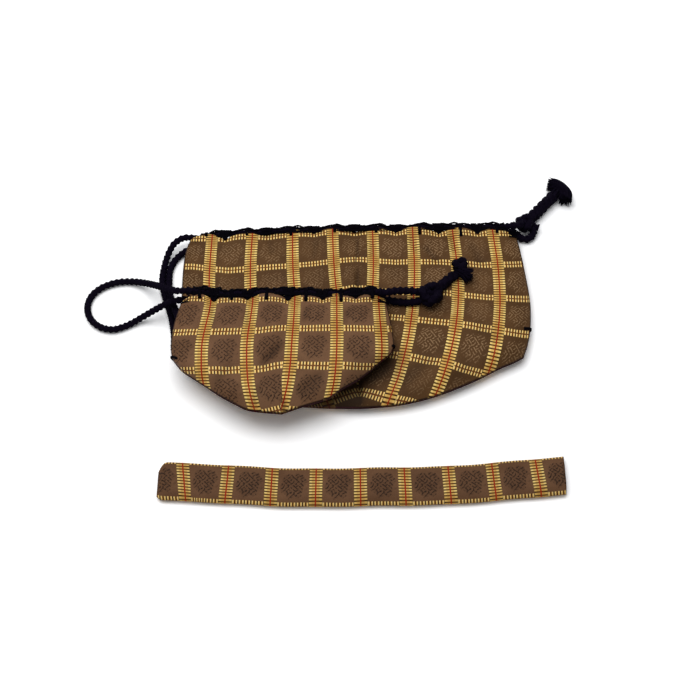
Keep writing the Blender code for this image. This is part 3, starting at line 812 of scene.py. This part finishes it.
# Random waves all over a front: their seed, count and height, and the shortest and longest of them
WAVES = (11, 9, 0.13, 18, 46)
# Patches of painted shadow where the small pouch and the folds shade the front: middle, half sizes and
# darkness
PAINTED_SHADOWS = {"bowl_pouch": [(-13, 4, 16, 10, 1.4), (8, 21, 13, 10, 0.6)], "caddy_pouch": []}
# How much painted shade a crease's depth gives, and the darkest that painted shade gets
PAINTED_CREASE_SHADE = 1 / 3.2
DARKEST_PAINTED_SHADE = 0.74
# How far the large pouch's second and third rows hang below even checks, across the pouch
ROW_SAG = [
    (-87, -1.0), (-67.5, 1.9), (-45, 1.7), (-22.5, 2.2), (-4.7, 1.1), (2.9, 0.8), (21.8, 2.6), (44.2, 0.7),
    (68.7, 2.2), (87, 1.4),
]
BOWL_CHECK_WIDTH = 21.7
BOWL_CHECK_HEIGHT = 17.8
CADDY_CHECK = 21.7
CADDY_CHECK_HEIGHT = 21.6
# The height above the foot where each pouch's first row of checks starts
BOWL_FIRST_ROW = 107.5
CADDY_FIRST_ROW = 64.4


class Pouch:
    """One flat drawstring pouch, in its own frame, with its measures under the names that they have above."""

    def __init__(self, measures):
        for key, value in measures.items():
            setattr(self, key, value)
        self.drawcord = self.name.replace("pouch", "drawcord")
        self.middle = POUCH_THICK / 2
        self.full = self.middle - BROCADE_THICK - SEAT_GAP / 2
        self.curves = {}
        for side in ("left", "right", "left_foot", "right_foot"):
            sign = -1 if side.startswith("left") else 1
            fine = smooth([(sign * a * self.width / 2, b * self.height, 0.0) for a, b in measures[side]])
            along = distances(fine)
            self.curves[side] = (fine, along / along[-1])
        self.half_left = self.left[0][0] * self.width / 2
        self.half_right = self.right[0][0] * self.width / 2
        self.lip = np.array(self.lip, float)
        dips = np.array(self.dips, float)
        spacing = 2 * (dips[-1, 0] - dips[0, 0]) / (len(dips) - 1)
        self.dip_x = np.concatenate([[dips[0, 0] - spacing], dips[:, 0], [dips[-1, 0] + spacing]])
        self.dip_number = np.concatenate([[-2], np.arange(len(dips)), [len(dips) + 1]])
        self.dip_depth = np.concatenate([[0], dips[:, 1], [0]])

    def on_curve(self, side, share):
        fine, at = self.curves[side]
        return np.stack([np.interp(share, at, fine[:, axis]) for axis in range(2)], -1)

    def plan(self, across, up):
        """The points of the flat outline at these insets from the left side and the foot."""
        u = np.clip(across / self.width, 0, 1)
        v = np.clip(up / self.height, 0, 1)
        left = self.on_curve("left", 1 - v)
        right = self.on_curve("right", 1 - v)
        foot = np.where(
            (u < 0.5)[..., None],
            self.on_curve("left_foot", np.clip(2 * u, 0, 1)),
            self.on_curve("right_foot", np.clip(2 - 2 * u, 0, 1)),
        )
        u, v = u[..., None], v[..., None]
        left_top, left_low = self.curves["left"][0][[0, -1], :2]
        right_top, right_low = self.curves["right"][0][[0, -1], :2]
        mouth = left_top * (1 - u) + right_top * u
        low = left_low * (1 - u) + right_low * u
        return foot * (1 - v) + mouth * v + left * (1 - u) + right * u - low * (1 - v) - mouth * v

    def inset(self, across, up):
        """How far in from the nearest seam a point is."""
        return np.minimum(np.minimum(across, self.width - across), up)

    def swelled(self, across, up):
        """How much of its full height the space between the panels has here."""
        return 1 - (1 - np.clip(self.inset(across, up) / EDGE_ROLL, 0, 1)) ** 2

    def phase(self, x):
        """Where a point of the lip is among the stitches: a whole number at each dip."""
        return np.interp(x, self.dip_x, self.dip_number)

    def scallop(self, x):
        """How far the lip dips below its arches: 1 at each dip, 0 midway between two."""
        return 1 - np.abs(np.sin(math.pi * self.phase(x))) ** 0.8

    def near_mouth(self, up, reach=LIP_FADE):
        """1 at the mouth and 0 this far below it."""
        return ease((up - self.height + reach) / reach)

    def near_left_corner(self, x, reach):
        """1 at the mouth's left corner and 0 this far to the right of it."""
        return ease((reach - (x + self.half_left)) / reach)

    def droop(self, x, start):
        """How far the back lip, or its cord, hangs down to the left of this start."""
        return self.back_droop * ease((start - x) / DROOP_WIDTH)

    def lip_shift(self, x, up, face):
        """How far the cloth at the mouth is drawn up in arches, down at stitches and up at its corner."""
        near = self.near_mouth(up)
        dip = near * np.interp(x, self.dip_x, self.dip_depth) * self.scallop(x)
        if face == "back":
            return 0.0, dip, -self.droop(x, LIP_DROOP_START) * self.near_mouth(up, 40)
        rise = np.interp(x, self.lip[:, 0], self.lip[:, 1]) - self.height
        corner = self.corner_rise * self.near_left_corner(x, 14)
        return near * rise, dip, corner * self.near_mouth(up, 30)

    def lip_lift(self, x, up, face):
        """How far the cloth at the mouth is raised: over the cord in arches, and off the table behind."""
        near = self.near_mouth(up)
        if face == "back":
            return 0.9 * near
        corner = self.corner_lift * self.near_left_corner(x, 13)
        return near * (0.5 * (1 - self.scallop(x)) + corner)

    def relief(self, x, y, across, up):
        """How far the front stands above its plain swelling: soft swells, creases and puckers."""
        total = np.zeros_like(x)
        for spot in SWELLS[self.name]:
            total += bump_at(x, y, spot)
        for crease in CREASES[self.name]:
            total += crease_at(x, y, crease)
        from_mouth = np.clip(self.height - up, 0, None)
        turn = 2 * math.pi * self.phase(x)
        for height, fade, waves, start in PUCKERS:
            total += height * np.exp(-from_mouth / fade) * np.cos(waves * turn + start)
        seed, count, height, shortest, longest = WAVES
        random = np.random.default_rng(seed)
        for _ in range(count):
            angle, phase = random.uniform(0, math.pi), random.uniform(0, 6.3)
            wave = random.uniform(shortest, longest)
            total += height * np.cos(2 * math.pi * (x * math.cos(angle) + y * math.sin(angle)) / wave + phase)
        height, middle, apart = SEAM_PUCKERS
        inset = self.inset(across, up)
        puckers = np.cos(2 * math.pi * (x * 0.9 + y * 1.1) / apart)
        total += height * np.exp(-(((inset - middle) / middle) ** 2)) * puckers
        return total * ease(inset / EDGE_ROLL)

    def lowest_relief(self, x, y, across, up, step):
        """The relief of an inner layer, which stays under the lowest of the outer layer's nearby."""
        beside = [k * step / 2 for k in range(-2, 3)]
        return np.min([self.relief(x + a, y + b, across, up) for a in beside for b in beside], 0) - 0.15

    def shade(self, x, y):
        """How dark the painted shade of creases and fold shadows is here, from 0 to 1."""
        total = np.zeros_like(x)
        for crease in CREASES[self.name]:
            if crease[-1] < 0:
                total -= crease_at(x, y, crease) * PAINTED_CREASE_SHADE
        for spot in PAINTED_SHADOWS[self.name]:
            total += bump_at(x, y, spot)
        return np.clip(total, 0, DARKEST_PAINTED_SHADE)

    def weave(self, x, y, side):
        """The weave's map at a point, in checks. side is -1 or 1, the side of the dart that the cloth is on.

        Towards the foot the dart takes cloth in, so the stripes lean and bow and the rows sag.
        """
        t = np.clip(1 - y / self.height, 0, 1.05)
        if self.name == "bowl_pouch":
            # The dart takes in 19 mm in the middle and less beside it, and the stripes between bow
            intake = (19 - 5.2 * np.clip(np.abs(x) / 75, 0, 1)) * t**2.5
            bowed = 2.0 * np.clip((np.abs(x) - 28) / 26, 0, 1) * np.sin(math.pi * np.clip(t, 0, 1))
            u = (x + side * (intake - bowed) - 10.1) / BOWL_CHECK_WIDTH
            # The rows rise towards the sides, but level out near the seams
            level = 0.0022 * np.clip(np.abs(x) - 60, 0, None) ** 2 * ease(t / 0.15)
            drop = BOWL_FIRST_ROW - y - (0.04 + 0.3 * t**1.5) * np.abs(x) + level
            v = drop / BOWL_CHECK_HEIGHT - np.sign(drop) * 5.85e-9 * drop**4
            sag = np.interp(x, *zip(*ROW_SAG)) / BOWL_CHECK_HEIGHT
            v = v - sag * ease(v / 0.9) * (1 - ease(v - 2)) + 0.055 * ease(v - 2) * (1 - ease(v - 3))
            return u, -v
        wider = ease(t / 0.5)
        u = (x + side * 5.5 * t**5 - 5.4 + 0.9 * wider) / (CADDY_CHECK + 1.2 * wider)
        drop = CADDY_FIRST_ROW - y + 1.1 - 2.3 * (1 - ease((x + 15) / 17)) * ease(t / 0.3)
        v = (drop - np.exp(-((drop / 9) ** 2))) / CADDY_CHECK_HEIGHT
        v += 0.15 * (drop / 18) * np.exp(1 - drop / 18)
        return u, -v

    def to_world(self, points):
        """Points of this pouch's frame in the scene, still in millimetres."""
        points = np.asarray(points, float)
        cos, sin = math.cos(self.turn), math.sin(self.turn)
        x = points[..., 0] * cos - points[..., 1] * sin + self.x
        y = points[..., 0] * sin + points[..., 1] * cos + self.y
        return np.stack([x, y, points[..., 2] + self.rest], -1)

    def layer(self, kind, face, outset, depth, thickness, top, step, material):
        """One cloth layer, which starts outset in from the seams and lies depth under the outer face."""
        sign = 1 if face == "front" else -1
        half = round((self.width - 2 * outset) / 2 / step)
        columns = np.linspace(outset, self.width - outset, 2 * half + 1)
        rows = np.linspace(outset, top, max(4, round((top - outset) / step)) + 1)
        across, up = np.meshgrid(columns, rows)
        place = self.plan(across, up)
        x, y = place[..., 0], place[..., 1]
        reach = (self.full + SEAT_GAP / 2 - EDGE_REACH) * self.swelled(across, up)
        z = self.middle + sign * (EDGE_REACH + reach + BROCADE_THICK - depth) + self.lip_lift(x, up, face)
        if face == "front" and kind == "brocade":
            z = z + self.relief(x, y, across, up)
        elif face == "front":
            z = z + self.lowest_relief(x, y, across, up, step)
        rise, dip, corner = self.lip_shift(x, up, face)
        points = self.to_world(np.stack([x, y + rise - dip + corner, z], -1))
        made = cloth_sheet(f"{self.name}_{face}_{kind}", points, sign > 0, thickness, material)

        # The rows look level to the camera although the rolled seams sink, so the map moves by as much
        to_side = np.where(x < 0, across, self.width - across)
        sunk = (1 - np.clip(to_side / EDGE_ROLL, 0, 1)) ** 2
        foot = ease((np.abs(x) - 8) / 20) * (1 - np.clip(up / EDGE_ROLL, 0, 1)) ** 2
        level = self.full * np.maximum(sunk, foot) / math.tan(CAMERA_DOWN)
        self.map_weave(made, x.ravel(), (y + rise - 0.5 * dip - level).ravel())
        if kind == "brocade":
            # The seam attribute is 1 on the seams and elsewhere holds the painted shade of creases and fold
            # shadows on the front
            shade = self.shade(x, y) if face == "front" else 0.0
            dark = np.where(self.inset(across, up) < SEAM_HALF, 1.0, shade)
            seam = made.data.attributes.new("seam", "FLOAT", "POINT")
            seam.data.foreach_set("value", dark.ravel().astype(np.float32))
        return made

    def cloth_height(self, x, up, face):
        """The height of the cloth's outer face near the mouth, in the pouch's frame."""
        x, up = np.array(float(x)), np.array(float(up))
        sign = 1 if face == "front" else -1
        relief = self.relief(x, up, x + self.width / 2, up) if face == "front" else 0.0
        reach = self.full + SEAT_GAP / 2 + BROCADE_THICK
        return float(self.middle + sign * reach + relief + self.lip_lift(x, up, face))

    def map_weave(self, made, x, y):
        """Gives each face's corners the weave's map, with the dart's two sides kept apart."""
        corners = corner_points(made)
        face_x = x[corners].reshape(-1, 4).mean(1).repeat(4)
        set_map(made, "weave", *self.weave(x[corners], y[corners], np.sign(face_x)))

    def run_end(self, face, side):
        """The middle of the drawcord where its run along this lip ends."""
        across = RUN_OVERHANG - self.half_left if side == "left" else self.half_right - RUN_OVERHANG
        above = SEAT_GAP / 2 + LACE_OUTER if face == "back" else POUCH_THICK - FRONT_RUN_DROP
        return np.array((across, self.height + SEAT_GAP + LACE_OUTER, above))

    def placed(self, point, side):
        """A listed point of a cord, given from the end of the run at this side."""
        end = self.run_end("back", side)
        return np.array((end[0] + point[0], end[1] + point[1], point[2] - self.rest))

    def line(self, key, side="right"):
        """The listed points of one part of the drawcord."""
        return [self.placed(point, side) for point in getattr(self, key)]

    def braid(self, name, points, thickness):
        """A braided cord along a line in this pouch's frame."""
        return braided(name, resampled(self.to_world(points), BRAID_STEP), thickness)


POUCHES = [Pouch(BOWL), Pouch(CADDY)]


def pouch_cloth(pouch):
    """The six cloth layers, which are cut alike, each smaller than the one over it."""
    layers = (
        # kind, slot, part, outset, drop from the mouth, thickness, step, material and part that it rests on
        ("brocade", "brocade", "panel", 0.0, 0.0, BROCADE_THICK, CLOTH_STEP, BROCADES[pouch.name], "wadding"),
        ("filling", "wadding", "wadding", 3.2, 2.4, WADDING_THICK, INNER_STEP, WADDING, "lining"),
        ("silk", "lining", "lining", 4.5, 1.8, LINING_THICK, INNER_STEP, LINING, "wadding"),
    )
    for face in ("front", "back"):
        depth = 0.0
        for kind, slot, part, outset, drop, thickness, step, material, beside in layers:
            top = pouch.height - drop
            made = pouch.layer(kind, face, outset, depth, thickness, top, step, material)
            dress(made, pouch.name, slot, f"{pouch.name}_{face}_{part}")
            depth += thickness + SEAT_GAP


def lip_run(pouch, face):
    """The path of the drawcord along a lip: it sinks a little at each dip of the lip."""
    start = pouch.run_end(face, "left")
    end = pouch.run_end(face, "right")
    x = np.linspace(start[0], end[0], 400)
    fade = ease((x - start[0]) / 6) * ease((end[0] - x) / 6)
    if face == "front":
        line = smooth([(x, y, 0.0) for x, y in pouch.cord_line])
        y = np.interp(x, line[:, 0], line[:, 1]) - (0.35 * pouch.scallop(x) + pouch.band_drop) * fade
        z = start[2] + pouch.left_shift[2] * ease((SHIFT_FADE - (x - start[0])) / SHIFT_FADE)
    else:
        y = start[1] - 0.5 * pouch.scallop(x) * fade - pouch.droop(x, CORD_DROOP_START)
        z = start[2]
    return np.stack([x, y, z + 0.25 * np.sin(x / 6.1 + 1.0) * fade], 1)


def runs(pouch):
    """The drawcord's two runs along the lips."""
    for face in ("front", "back"):
        made = pouch.braid(f"{pouch.name}_{face}_run_braid", lip_run(pouch, face), pouch.band)
        dress(made, pouch.drawcord, "cord", f"{pouch.name}_drawcord_{face}_run")


def lacing(pouch, face):
    """The thread that ties the drawcord to a lip: along it, over it in arches and down to stitches."""
    sign = 1 if face == "front" else -1
    cord = lip_run(pouch, face)

    def beside(x, up, out):
        """A point given by its place along the lip and its way up and out from the cord's middle."""
        y, z = (np.interp(x, cord[:, 0], cord[:, axis]) for axis in (1, 2))
        return (x, y + up, z + sign * out)

    def in_cloth(x, up, out):
        droop = pouch.droop(x, LIP_DROOP_START) if face == "back" else 0.0
        return (x, up - droop, max(pouch.cloth_height(x, up, face) + sign * out, 0.7))

    routes = []
    for x, _, tip in pouch.dips:
        for spread, above in zip(pouch.stitch_halves, (0.0, 0.7, 1.2)):
            half = [beside(x - spread - 0.4, 1.1, -1.7), beside(x - spread - 0.2, 2.0, 0.3)]
            half += [beside(x - spread * 0.95, 0.9, 1.9), beside(x - spread * 0.72, -0.9, 1.8)]
            low = tip + above
            half += [in_cloth(x - spread * 0.3 - 0.1, low + 0.9, 0.4), in_cloth(x - 0.25, low, 0.3)]
            routes.append(half + [(2 * x - a, b, c) for a, b, c in half[::-1]])
    for x, tip in pouch.bars:
        for side in (-0.3, 0.3):
            at = x + side
            over = [beside(at, up, out) for up, out in BAR_OVER_CORD]
            routes.append(over + [in_cloth(at, tip + up, out) for up, out in BAR_IN_CLOTH])
    for x in pouch.arches:
        routes.append([beside(x + across, up, out) for across, up, out in ARCH])
    start, end = cord[0, 0] + 3.5, cord[-1, 0] - 3.5
    along = np.arange(start, end, 1.6)
    routes.append([beside(x, 0.6 + 0.6 * math.cos(x / 1.9), 1.95) for x in along])
    for low in pouch.low_laces:
        routes.append([beside(x, low - 0.15 * math.cos(x / 1.7 + low), 1.3) for x in along])
    made = []
    for number, route in enumerate(routes):
        path = resampled(pouch.to_world(smooth(route, 8)), LACE_STEP)
        made.append(thread(f"{pouch.name}_{face}_lace_{number}", path, pouch.lace))
    return joined(f"{pouch.name}_{face}_laces", made)


def side_thread(pouch, side, share, shift, lean, reach=5.0):
    """A thread over a side seam, from the front round to the back. lean slants it."""
    up = share * pouch.height
    edge_across, out = (0.0, -0.45) if side == "left" else (pouch.width, 0.45)
    route = []
    for sign in (1, -1):
        for inset in (reach, reach / 2, 0.9):
            across = np.array(abs(edge_across - inset))
            at = pouch.plan(across, np.array(up + shift + lean * inset))
            swell = SEAT_GAP / 2 + pouch.full * float(pouch.swelled(across, np.array(up)))
            height = pouch.middle + sign * (swell + BROCADE_THICK + 0.35)
            route.append((at[0], at[1], max(height, 0.5)))
    edge = pouch.plan(np.array(edge_across), np.array(up + shift))
    ordered = route[:3] + [(edge[0] + out, edge[1], pouch.middle)] + route[3:][::-1]
    path = resampled(pouch.to_world(smooth(ordered, 8)), STITCH_STEP)
    return thread("stitch", path, STITCH_THICK)


def sewing(pouch):
    """The laces along both lips and the stitches over the side seams."""
    for face in ("front", "back"):
        dress(lacing(pouch, face), pouch.name, "thread", f"{pouch.name}_{face}_lacing")
    for side, reach in zip(("left", "right"), pouch.stitch_reach):
        crossed = [side_thread(pouch, side, 0.97, 0.0, lean) for lean in (-0.28, 0.28)]
        tack = joined(f"{pouch.name}_{side}_crossed_tack", crossed)
        dress(tack, pouch.name, "thread", f"{pouch.name}_{side}_mouth_tack")
        low = [side_thread(pouch, side, pouch.side_stitch, shift, 0.1, reach) for shift in (0.0, 1.0)]
        bar = joined(f"{pouch.name}_{side}_bar_tack", low)
        dress(bar, pouch.name, "thread", f"{pouch.name}_{side}_side_stitch")


def above_table(path, thickness):
    """A cord's path in even steps, raised where the cord would sink into the table."""
    path = resampled(path, BRAID_STEP)
    path[:, 2] = np.maximum(path[:, 2], thickness / 2 + TABLE_GAP)
    return path


def loop_path(pouch):
    """The free loop, from the front run's left end round to the back run's."""
    start = pouch.run_end("front", "left")
    end = pouch.run_end("back", "left")
    end[1] -= pouch.droop(end[0], CORD_DROOP_START)
    straight = np.array((-LEAD_STRAIGHT, 0, 0))
    route = [start, start + straight] + pouch.line("loop", "left") + [end + straight, end]
    path = resampled(smooth(route), BRAID_STEP)
    along = np.arange(len(path)) * BRAID_STEP
    shift = np.outer(ease((SHIFT_FADE - along) / SHIFT_FADE), pouch.left_shift)
    return above_table(pouch.to_world(path + shift), FULL_BRAID)


def loop(pouch):
    """The drawcord's free loop at the left."""
    path = loop_path(pouch)
    made = braided(f"{pouch.name}_loop_braid", path, FULL_BRAID)
    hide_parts(f"{pouch.name}_drawcord_loop")
    far = path[path[:, pouch.loop_far_axis].argmin()]
    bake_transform(made)


def knot_path(centre, outer, rise):
    """The line of a knot: a cord that crosses itself three times round a small hole."""
    turn = np.linspace(0, 2 * math.pi, 121)
    x = np.sin(turn) + 2 * np.sin(2 * turn)
    y = np.cos(turn) - 2 * np.cos(2 * turn)
    radius = np.hypot(x, y)
    wanted = outer - KNOT_SWING + (radius - 1) / 2 * KNOT_SWING
    lift = -rise * np.sin(3 * turn)
    return np.stack([centre[0] + x / radius * wanted, centre[1] + y / radius * wanted, centre[2] + lift], 1)


def knot(pouch):
    """The knot that ties the two ends together, and the short end that sticks out of it."""
    centre = pouch.placed(pouch.knot, "right")
    thickness = pouch.knot_braid
    line = knot_path(centre, pouch.knot_radius + 0.9 - FULL_BRAID / 2, thickness * 0.45)
    made = [pouch.braid(f"{pouch.name}_knot_braid", line, thickness)]
    if pouch.stub:
        made.append(pouch.braid("knot_stub", smooth(pouch.line("stub")), FULL_BRAID))
    tied = joined(f"{pouch.name}_knot_braid", made)
    return dress(tied, pouch.drawcord, "cord", f"{pouch.name}_drawcord_knot")


def tuft(name, route, radius, count, seed):
    """A thick bundle of loose fibres along a curve, which fans out at both ends."""
    random = np.random.default_rng(seed)
    inner = smooth(route, 8)
    first, last = [
        end + (end - before) / np.linalg.norm(end - before) * radius * 0.7
        for end, before in ((inner[0], inner[2]), (inner[-1], inner[-3]))
    ]
    path = resampled(np.concatenate([[first], inner, [last]]), FIBRE_STEP)
    side, lift = frames_along(path)
    rings = len(path)
    share = np.linspace(-1, 1, rings)
    points, faces = [], []
    for _ in range(count):
        angle, out = random.uniform(0, 2 * math.pi), math.sqrt(random.uniform(0, 1))
        begin = random.integers(0, 1 + rings // 6)
        stop = rings - random.integers(0, 1 + rings // 6)
        wind = random.uniform(-0.5, 0.5)
        bow = random.uniform(-0.25, 0.25)
        spread = radius * out * (0.86 + 0.3 * share**4 + 0.1 * bow)
        turn = angle + wind * share
        middle = path + side * (np.cos(turn) * spread)[:, None] + lift * (np.sin(turn) * spread)[:, None]
        middle = middle[begin:stop]
        near_end = np.minimum(np.arange(len(middle)), np.arange(len(middle))[::-1]) / 4
        thick = FIBRE_RADIUS * (0.35 + 0.65 * ease(near_end))
        start = len(points)
        for ring, place in enumerate(middle):
            for k in range(FIBRE_SIDES):
                around = 2 * math.pi * k / FIBRE_SIDES
                offset = side[begin + ring] * math.cos(around) + lift[begin + ring] * math.sin(around)
                points.append(place + offset * thick[ring])
        faces += ring_faces(len(middle), FIBRE_SIDES, start)
    made = made_mesh(name, points, faces, CORD)
    corners = corner_points(made)
    set_map(made, "strand", (corners * 7 % 101) / 101, (corners // FIBRE_SIDES) * FIBRE_STEP)
    return made


def tail_head(pouch):
    """The end of the tail: a ball of cord where there is one, and frayed tufts."""
    made = []
    if pouch.ball:
        centre = pouch.placed(pouch.ball, "right")
        line = knot_path(centre, pouch.ball_radius - FULL_BRAID / 2, 1.4)
        made.append(pouch.braid("ball", line, FULL_BRAID * 1.1))
    for number, (route, radius, count) in enumerate(pouch.tufts):
        line = [pouch.to_world(pouch.placed(point, "right")) for point in route]
        made.append(tuft(f"tuft_{number}", line, radius, count, 5 + number))
    return joined(f"{pouch.name}_tail_head_braid", made)


def strand_path(pouch, number):
    """One of the two ends of the drawcord: from the lip, through the knot and along the twisted tail."""
    face = ("front", "back")[number]
    start = pouch.run_end(face, "right")
    route = [start, start + np.array((LEAD_STRAIGHT, 0, 0))] + pouch.line(f"{face}_lead")
    centre = pouch.placed(pouch.knot, "right")
    first, last = pouch.line("tail")
    along = (last - first) / np.linalg.norm(last - first)
    side = np.cross(along, (0, 0, 1.0))
    side /= np.linalg.norm(side)
    lift = np.cross(side, along)
    steps = max(6, round(np.linalg.norm(last - first) / TWIST_PITCH * TWIST_TURN_POINTS))
    tail = []
    for k in range(steps + 1):
        angle = 2 * math.pi * k / TWIST_TURN_POINTS + math.pi * number
        swing = (side * math.cos(angle) + lift * math.sin(angle)) * pouch.twist
        tail.append(first + (last - first) * k / steps + swing)
    lead = smooth(route + [centre * 0.7 + route[-1] * 0.3, centre * 0.5 + tail[0] * 0.5, tail[0]])
    return above_table(pouch.to_world(np.concatenate([lead, smooth(tail, 3)[1:]])), FULL_STRAND)


def strands(pouch):
    """The two ends of the drawcord, with the knot and the head of the tail."""
    head = dress(tail_head(pouch), pouch.drawcord, "cord", f"{pouch.name}_drawcord_tail_head")
    tied = knot(pouch)
    for number, face in enumerate(("front", "back")):
        path = strand_path(pouch, number)
        made = braided(f"{pouch.name}_{face}_end_braid", path, FULL_STRAND)
        nodes = (f"{pouch.name}_drawcord_{face}_lead", f"{pouch.name}_drawcord_tail_strand_{number + 1}")
        dress(made, pouch.drawcord, "cord", *nodes)


# ---- sleeve


def sleeve_bend(along):
    """How far back the sleeve lies here, in its gentle bend."""
    share = 2 * along / SLEEVE_LENGTH
    return SLEEVE_RISE * ((share - SLEEVE_BEND_START_SHARE) / (1 - SLEEVE_BEND_START_SHARE)) ** 2


def sleeve_roll(inset):
    """How much of its full height the sleeve has this far in from an edge."""
    return 1 - (1 - np.clip(inset / SLEEVE_ROLL, 0, 1)) ** 2


def sleeve_layer(name, hidden, start, thickness, material, step):
    """One layer of the sleeve, from the near edge over the fold at the far edge and back underneath."""
    middle = BROCADE_THICK + SEAT_GAP + SLEEVE_LINING_THICK + SLEEVE_HOLLOW / 2
    fold_start = SLEEVE_WIDTH - middle
    flat = np.linspace(start, fold_start, round(fold_start / step) + 1)
    bends = np.linspace(0, math.pi, 13)[1:-1]
    rows = np.concatenate([flat, np.full(len(bends), fold_start), flat[::-1]])
    bend = np.concatenate([np.zeros(len(flat)), bends, np.full(len(flat), math.pi)])
    columns = np.linspace(start * 0.6, SLEEVE_LENGTH, round(SLEEVE_LENGTH / step) + 1)
    along, across = np.meshgrid(columns, rows)
    bend = np.repeat(bend[:, None], len(columns), axis=1)

    x = along - SLEEVE_LENGTH / 2
    reach = EDGE_REACH + (middle - EDGE_REACH) * np.minimum(sleeve_roll(along), sleeve_roll(across)) - hidden
    cut_back = SLEEVE_CORNER * (1 - np.clip(along / SLEEVE_CORNER, 0, 1)) ** 2 * across / fold_start
    cut_back = cut_back - 1.8 * np.clip(1 - along / 3, 0, 1) ** 2 * (1 - across / fold_start)
    soft = 0.16 * np.sin(x / 3.9 + across / 5)
    for length, turn, height in SLEEVE_WAVES:
        soft = soft + height * np.sin(x / length + turn)
    for place, height in SLEEVE_DENTS:
        soft = soft + height * np.exp(-(((x - place - 0.4 * across) / 4.5) ** 2))
    edge = ease(across / 6) * ease((fold_start - across) / 5)
    lift = np.where(bend < 1.6, soft * edge * ease(along / 8), 0.0)
    y = across - cut_back - SLEEVE_WIDTH / 2 + sleeve_bend(x) + reach * np.sin(bend) + SLEEVE_Y
    y = y + 0.25 * np.sin(x / 12.0 + 1.0) + 0.15 * np.sin(x / 5.1)
    points = np.stack([x, y, middle + reach * np.cos(bend) + lift], -1)
    made = cloth_sheet(name, points, True, thickness, material)

    slope = np.gradient(sleeve_bend(x[0]), x[0])[None, :]
    down = np.where(bend > 3.0, 2 * fold_start - across, across) + bend * middle
    lean = (0.75 + 0.216 * (SLEEVE_WIDTH / 2 - across)) * ease((-x - 75) / 12)
    u = (x + slope * (across - SLEEVE_WIDTH / 2) + 0.5 - lean) / SLEEVE_CHECK
    v = (down * 1.035 + 0.2) / SLEEVE_CHECK_ROUND
    corners = corner_points(made)
    set_map(made, "weave", u.ravel()[corners], v.ravel()[corners])
    return made


def sleeve():
    """The folded strip and its lining."""
    strip = sleeve_layer("scoop_sleeve_brocade", 0.0, 0.0, BROCADE_THICK, BROCADES["scoop_sleeve"], 1.0)
    dress(strip, "scoop_sleeve", "brocade", "scoop_sleeve_strip")
    hidden = BROCADE_THICK + SEAT_GAP
    silk = sleeve_layer("scoop_sleeve_silk", hidden, 2.2, SLEEVE_LINING_THICK, LINING, 3.0)
    dress(silk, "scoop_sleeve", "lining", "scoop_sleeve_lining")


# ---- stage


def stage():
    """A white table that runs up into a white backdrop, soft light from behind and above, and the camera."""
    shader = Shader("white_table")
    for name, value in (
        ("Base Color", (0.94, 0.94, 0.945, 1.0)), ("Roughness", 0.9), ("Specular IOR Level", 0.0),
    ):
        shader.surface.inputs[name].default_value = value
    light_path = shader.node("ShaderNodeLightPath")
    rays = shader.wire(light_path.outputs["Is Camera Ray"])
    for name in ("Is Glossy Ray", "Is Transmission Ray"):
        rays = rays.most(shader.wire(light_path.outputs[name]))
    extra = shader.node("ShaderNodeBsdfDiffuse")
    both = shader.node("ShaderNodeAddShader")
    shader.put(rays * 0.3, extra.inputs["Color"])
    shader.put(shader.surface.outputs[0], both.inputs[0])
    shader.put(extra.outputs[0], both.inputs[1])
    shader.put(both.outputs[0], shader.tree.nodes["Material Output"].inputs["Surface"])
    size, far = TABLE_HALF, BACKDROP_Y
    points = [
        (-size, -size, 0), (size, -size, 0), (size, far, 0), (-size, far, 0), (size, far, size),
        (-size, far, size),
    ]
    floor = made_mesh("white_table", points, [(0, 1, 2, 3), (3, 2, 4, 5)], shader.material, False)

    scene = bpy.context.scene
    scene.world = bpy.data.worlds.new("soft_room")
    scene.world.use_nodes = True
    background = scene.world.node_tree.nodes["Background"]
    background.inputs[0].default_value = (0.95, 0.97, 1.0, 1.0)
    background.inputs[1].default_value = 0.2

    for name, (place, width, power) in LAMPS.items():
        lamp = bpy.data.lights.new(name, "AREA")
        lamp.size = width * MM
        lamp.energy = power
        made = bpy.data.objects.new(name, lamp)
        made.location = [value * MM for value in place]
        made.rotation_euler = (-Vector(place)).to_track_quat("-Z", "Y").to_euler()
        scene.collection.objects.link(made)

    data = bpy.data.cameras.new("camera")
    data.sensor_width = SENSOR_WIDTH
    data.lens = SENSOR_WIDTH * FOCAL_PIXELS / PICTURE_PIXELS
    camera = bpy.data.objects.new("camera", data)
    camera.location = [value * MM for value in CAMERA_PLACE]
    camera.rotation_euler = (math.pi / 2 - CAMERA_DOWN, 0, 0)
    scene.collection.objects.link(camera)
    scene.camera = camera
    scene.view_settings.view_transform = "Standard"


stage()
for each in POUCHES:
    loop(each)
    strands(each)
    runs(each)
    pouch_cloth(each)
    sewing(each)
sleeve()
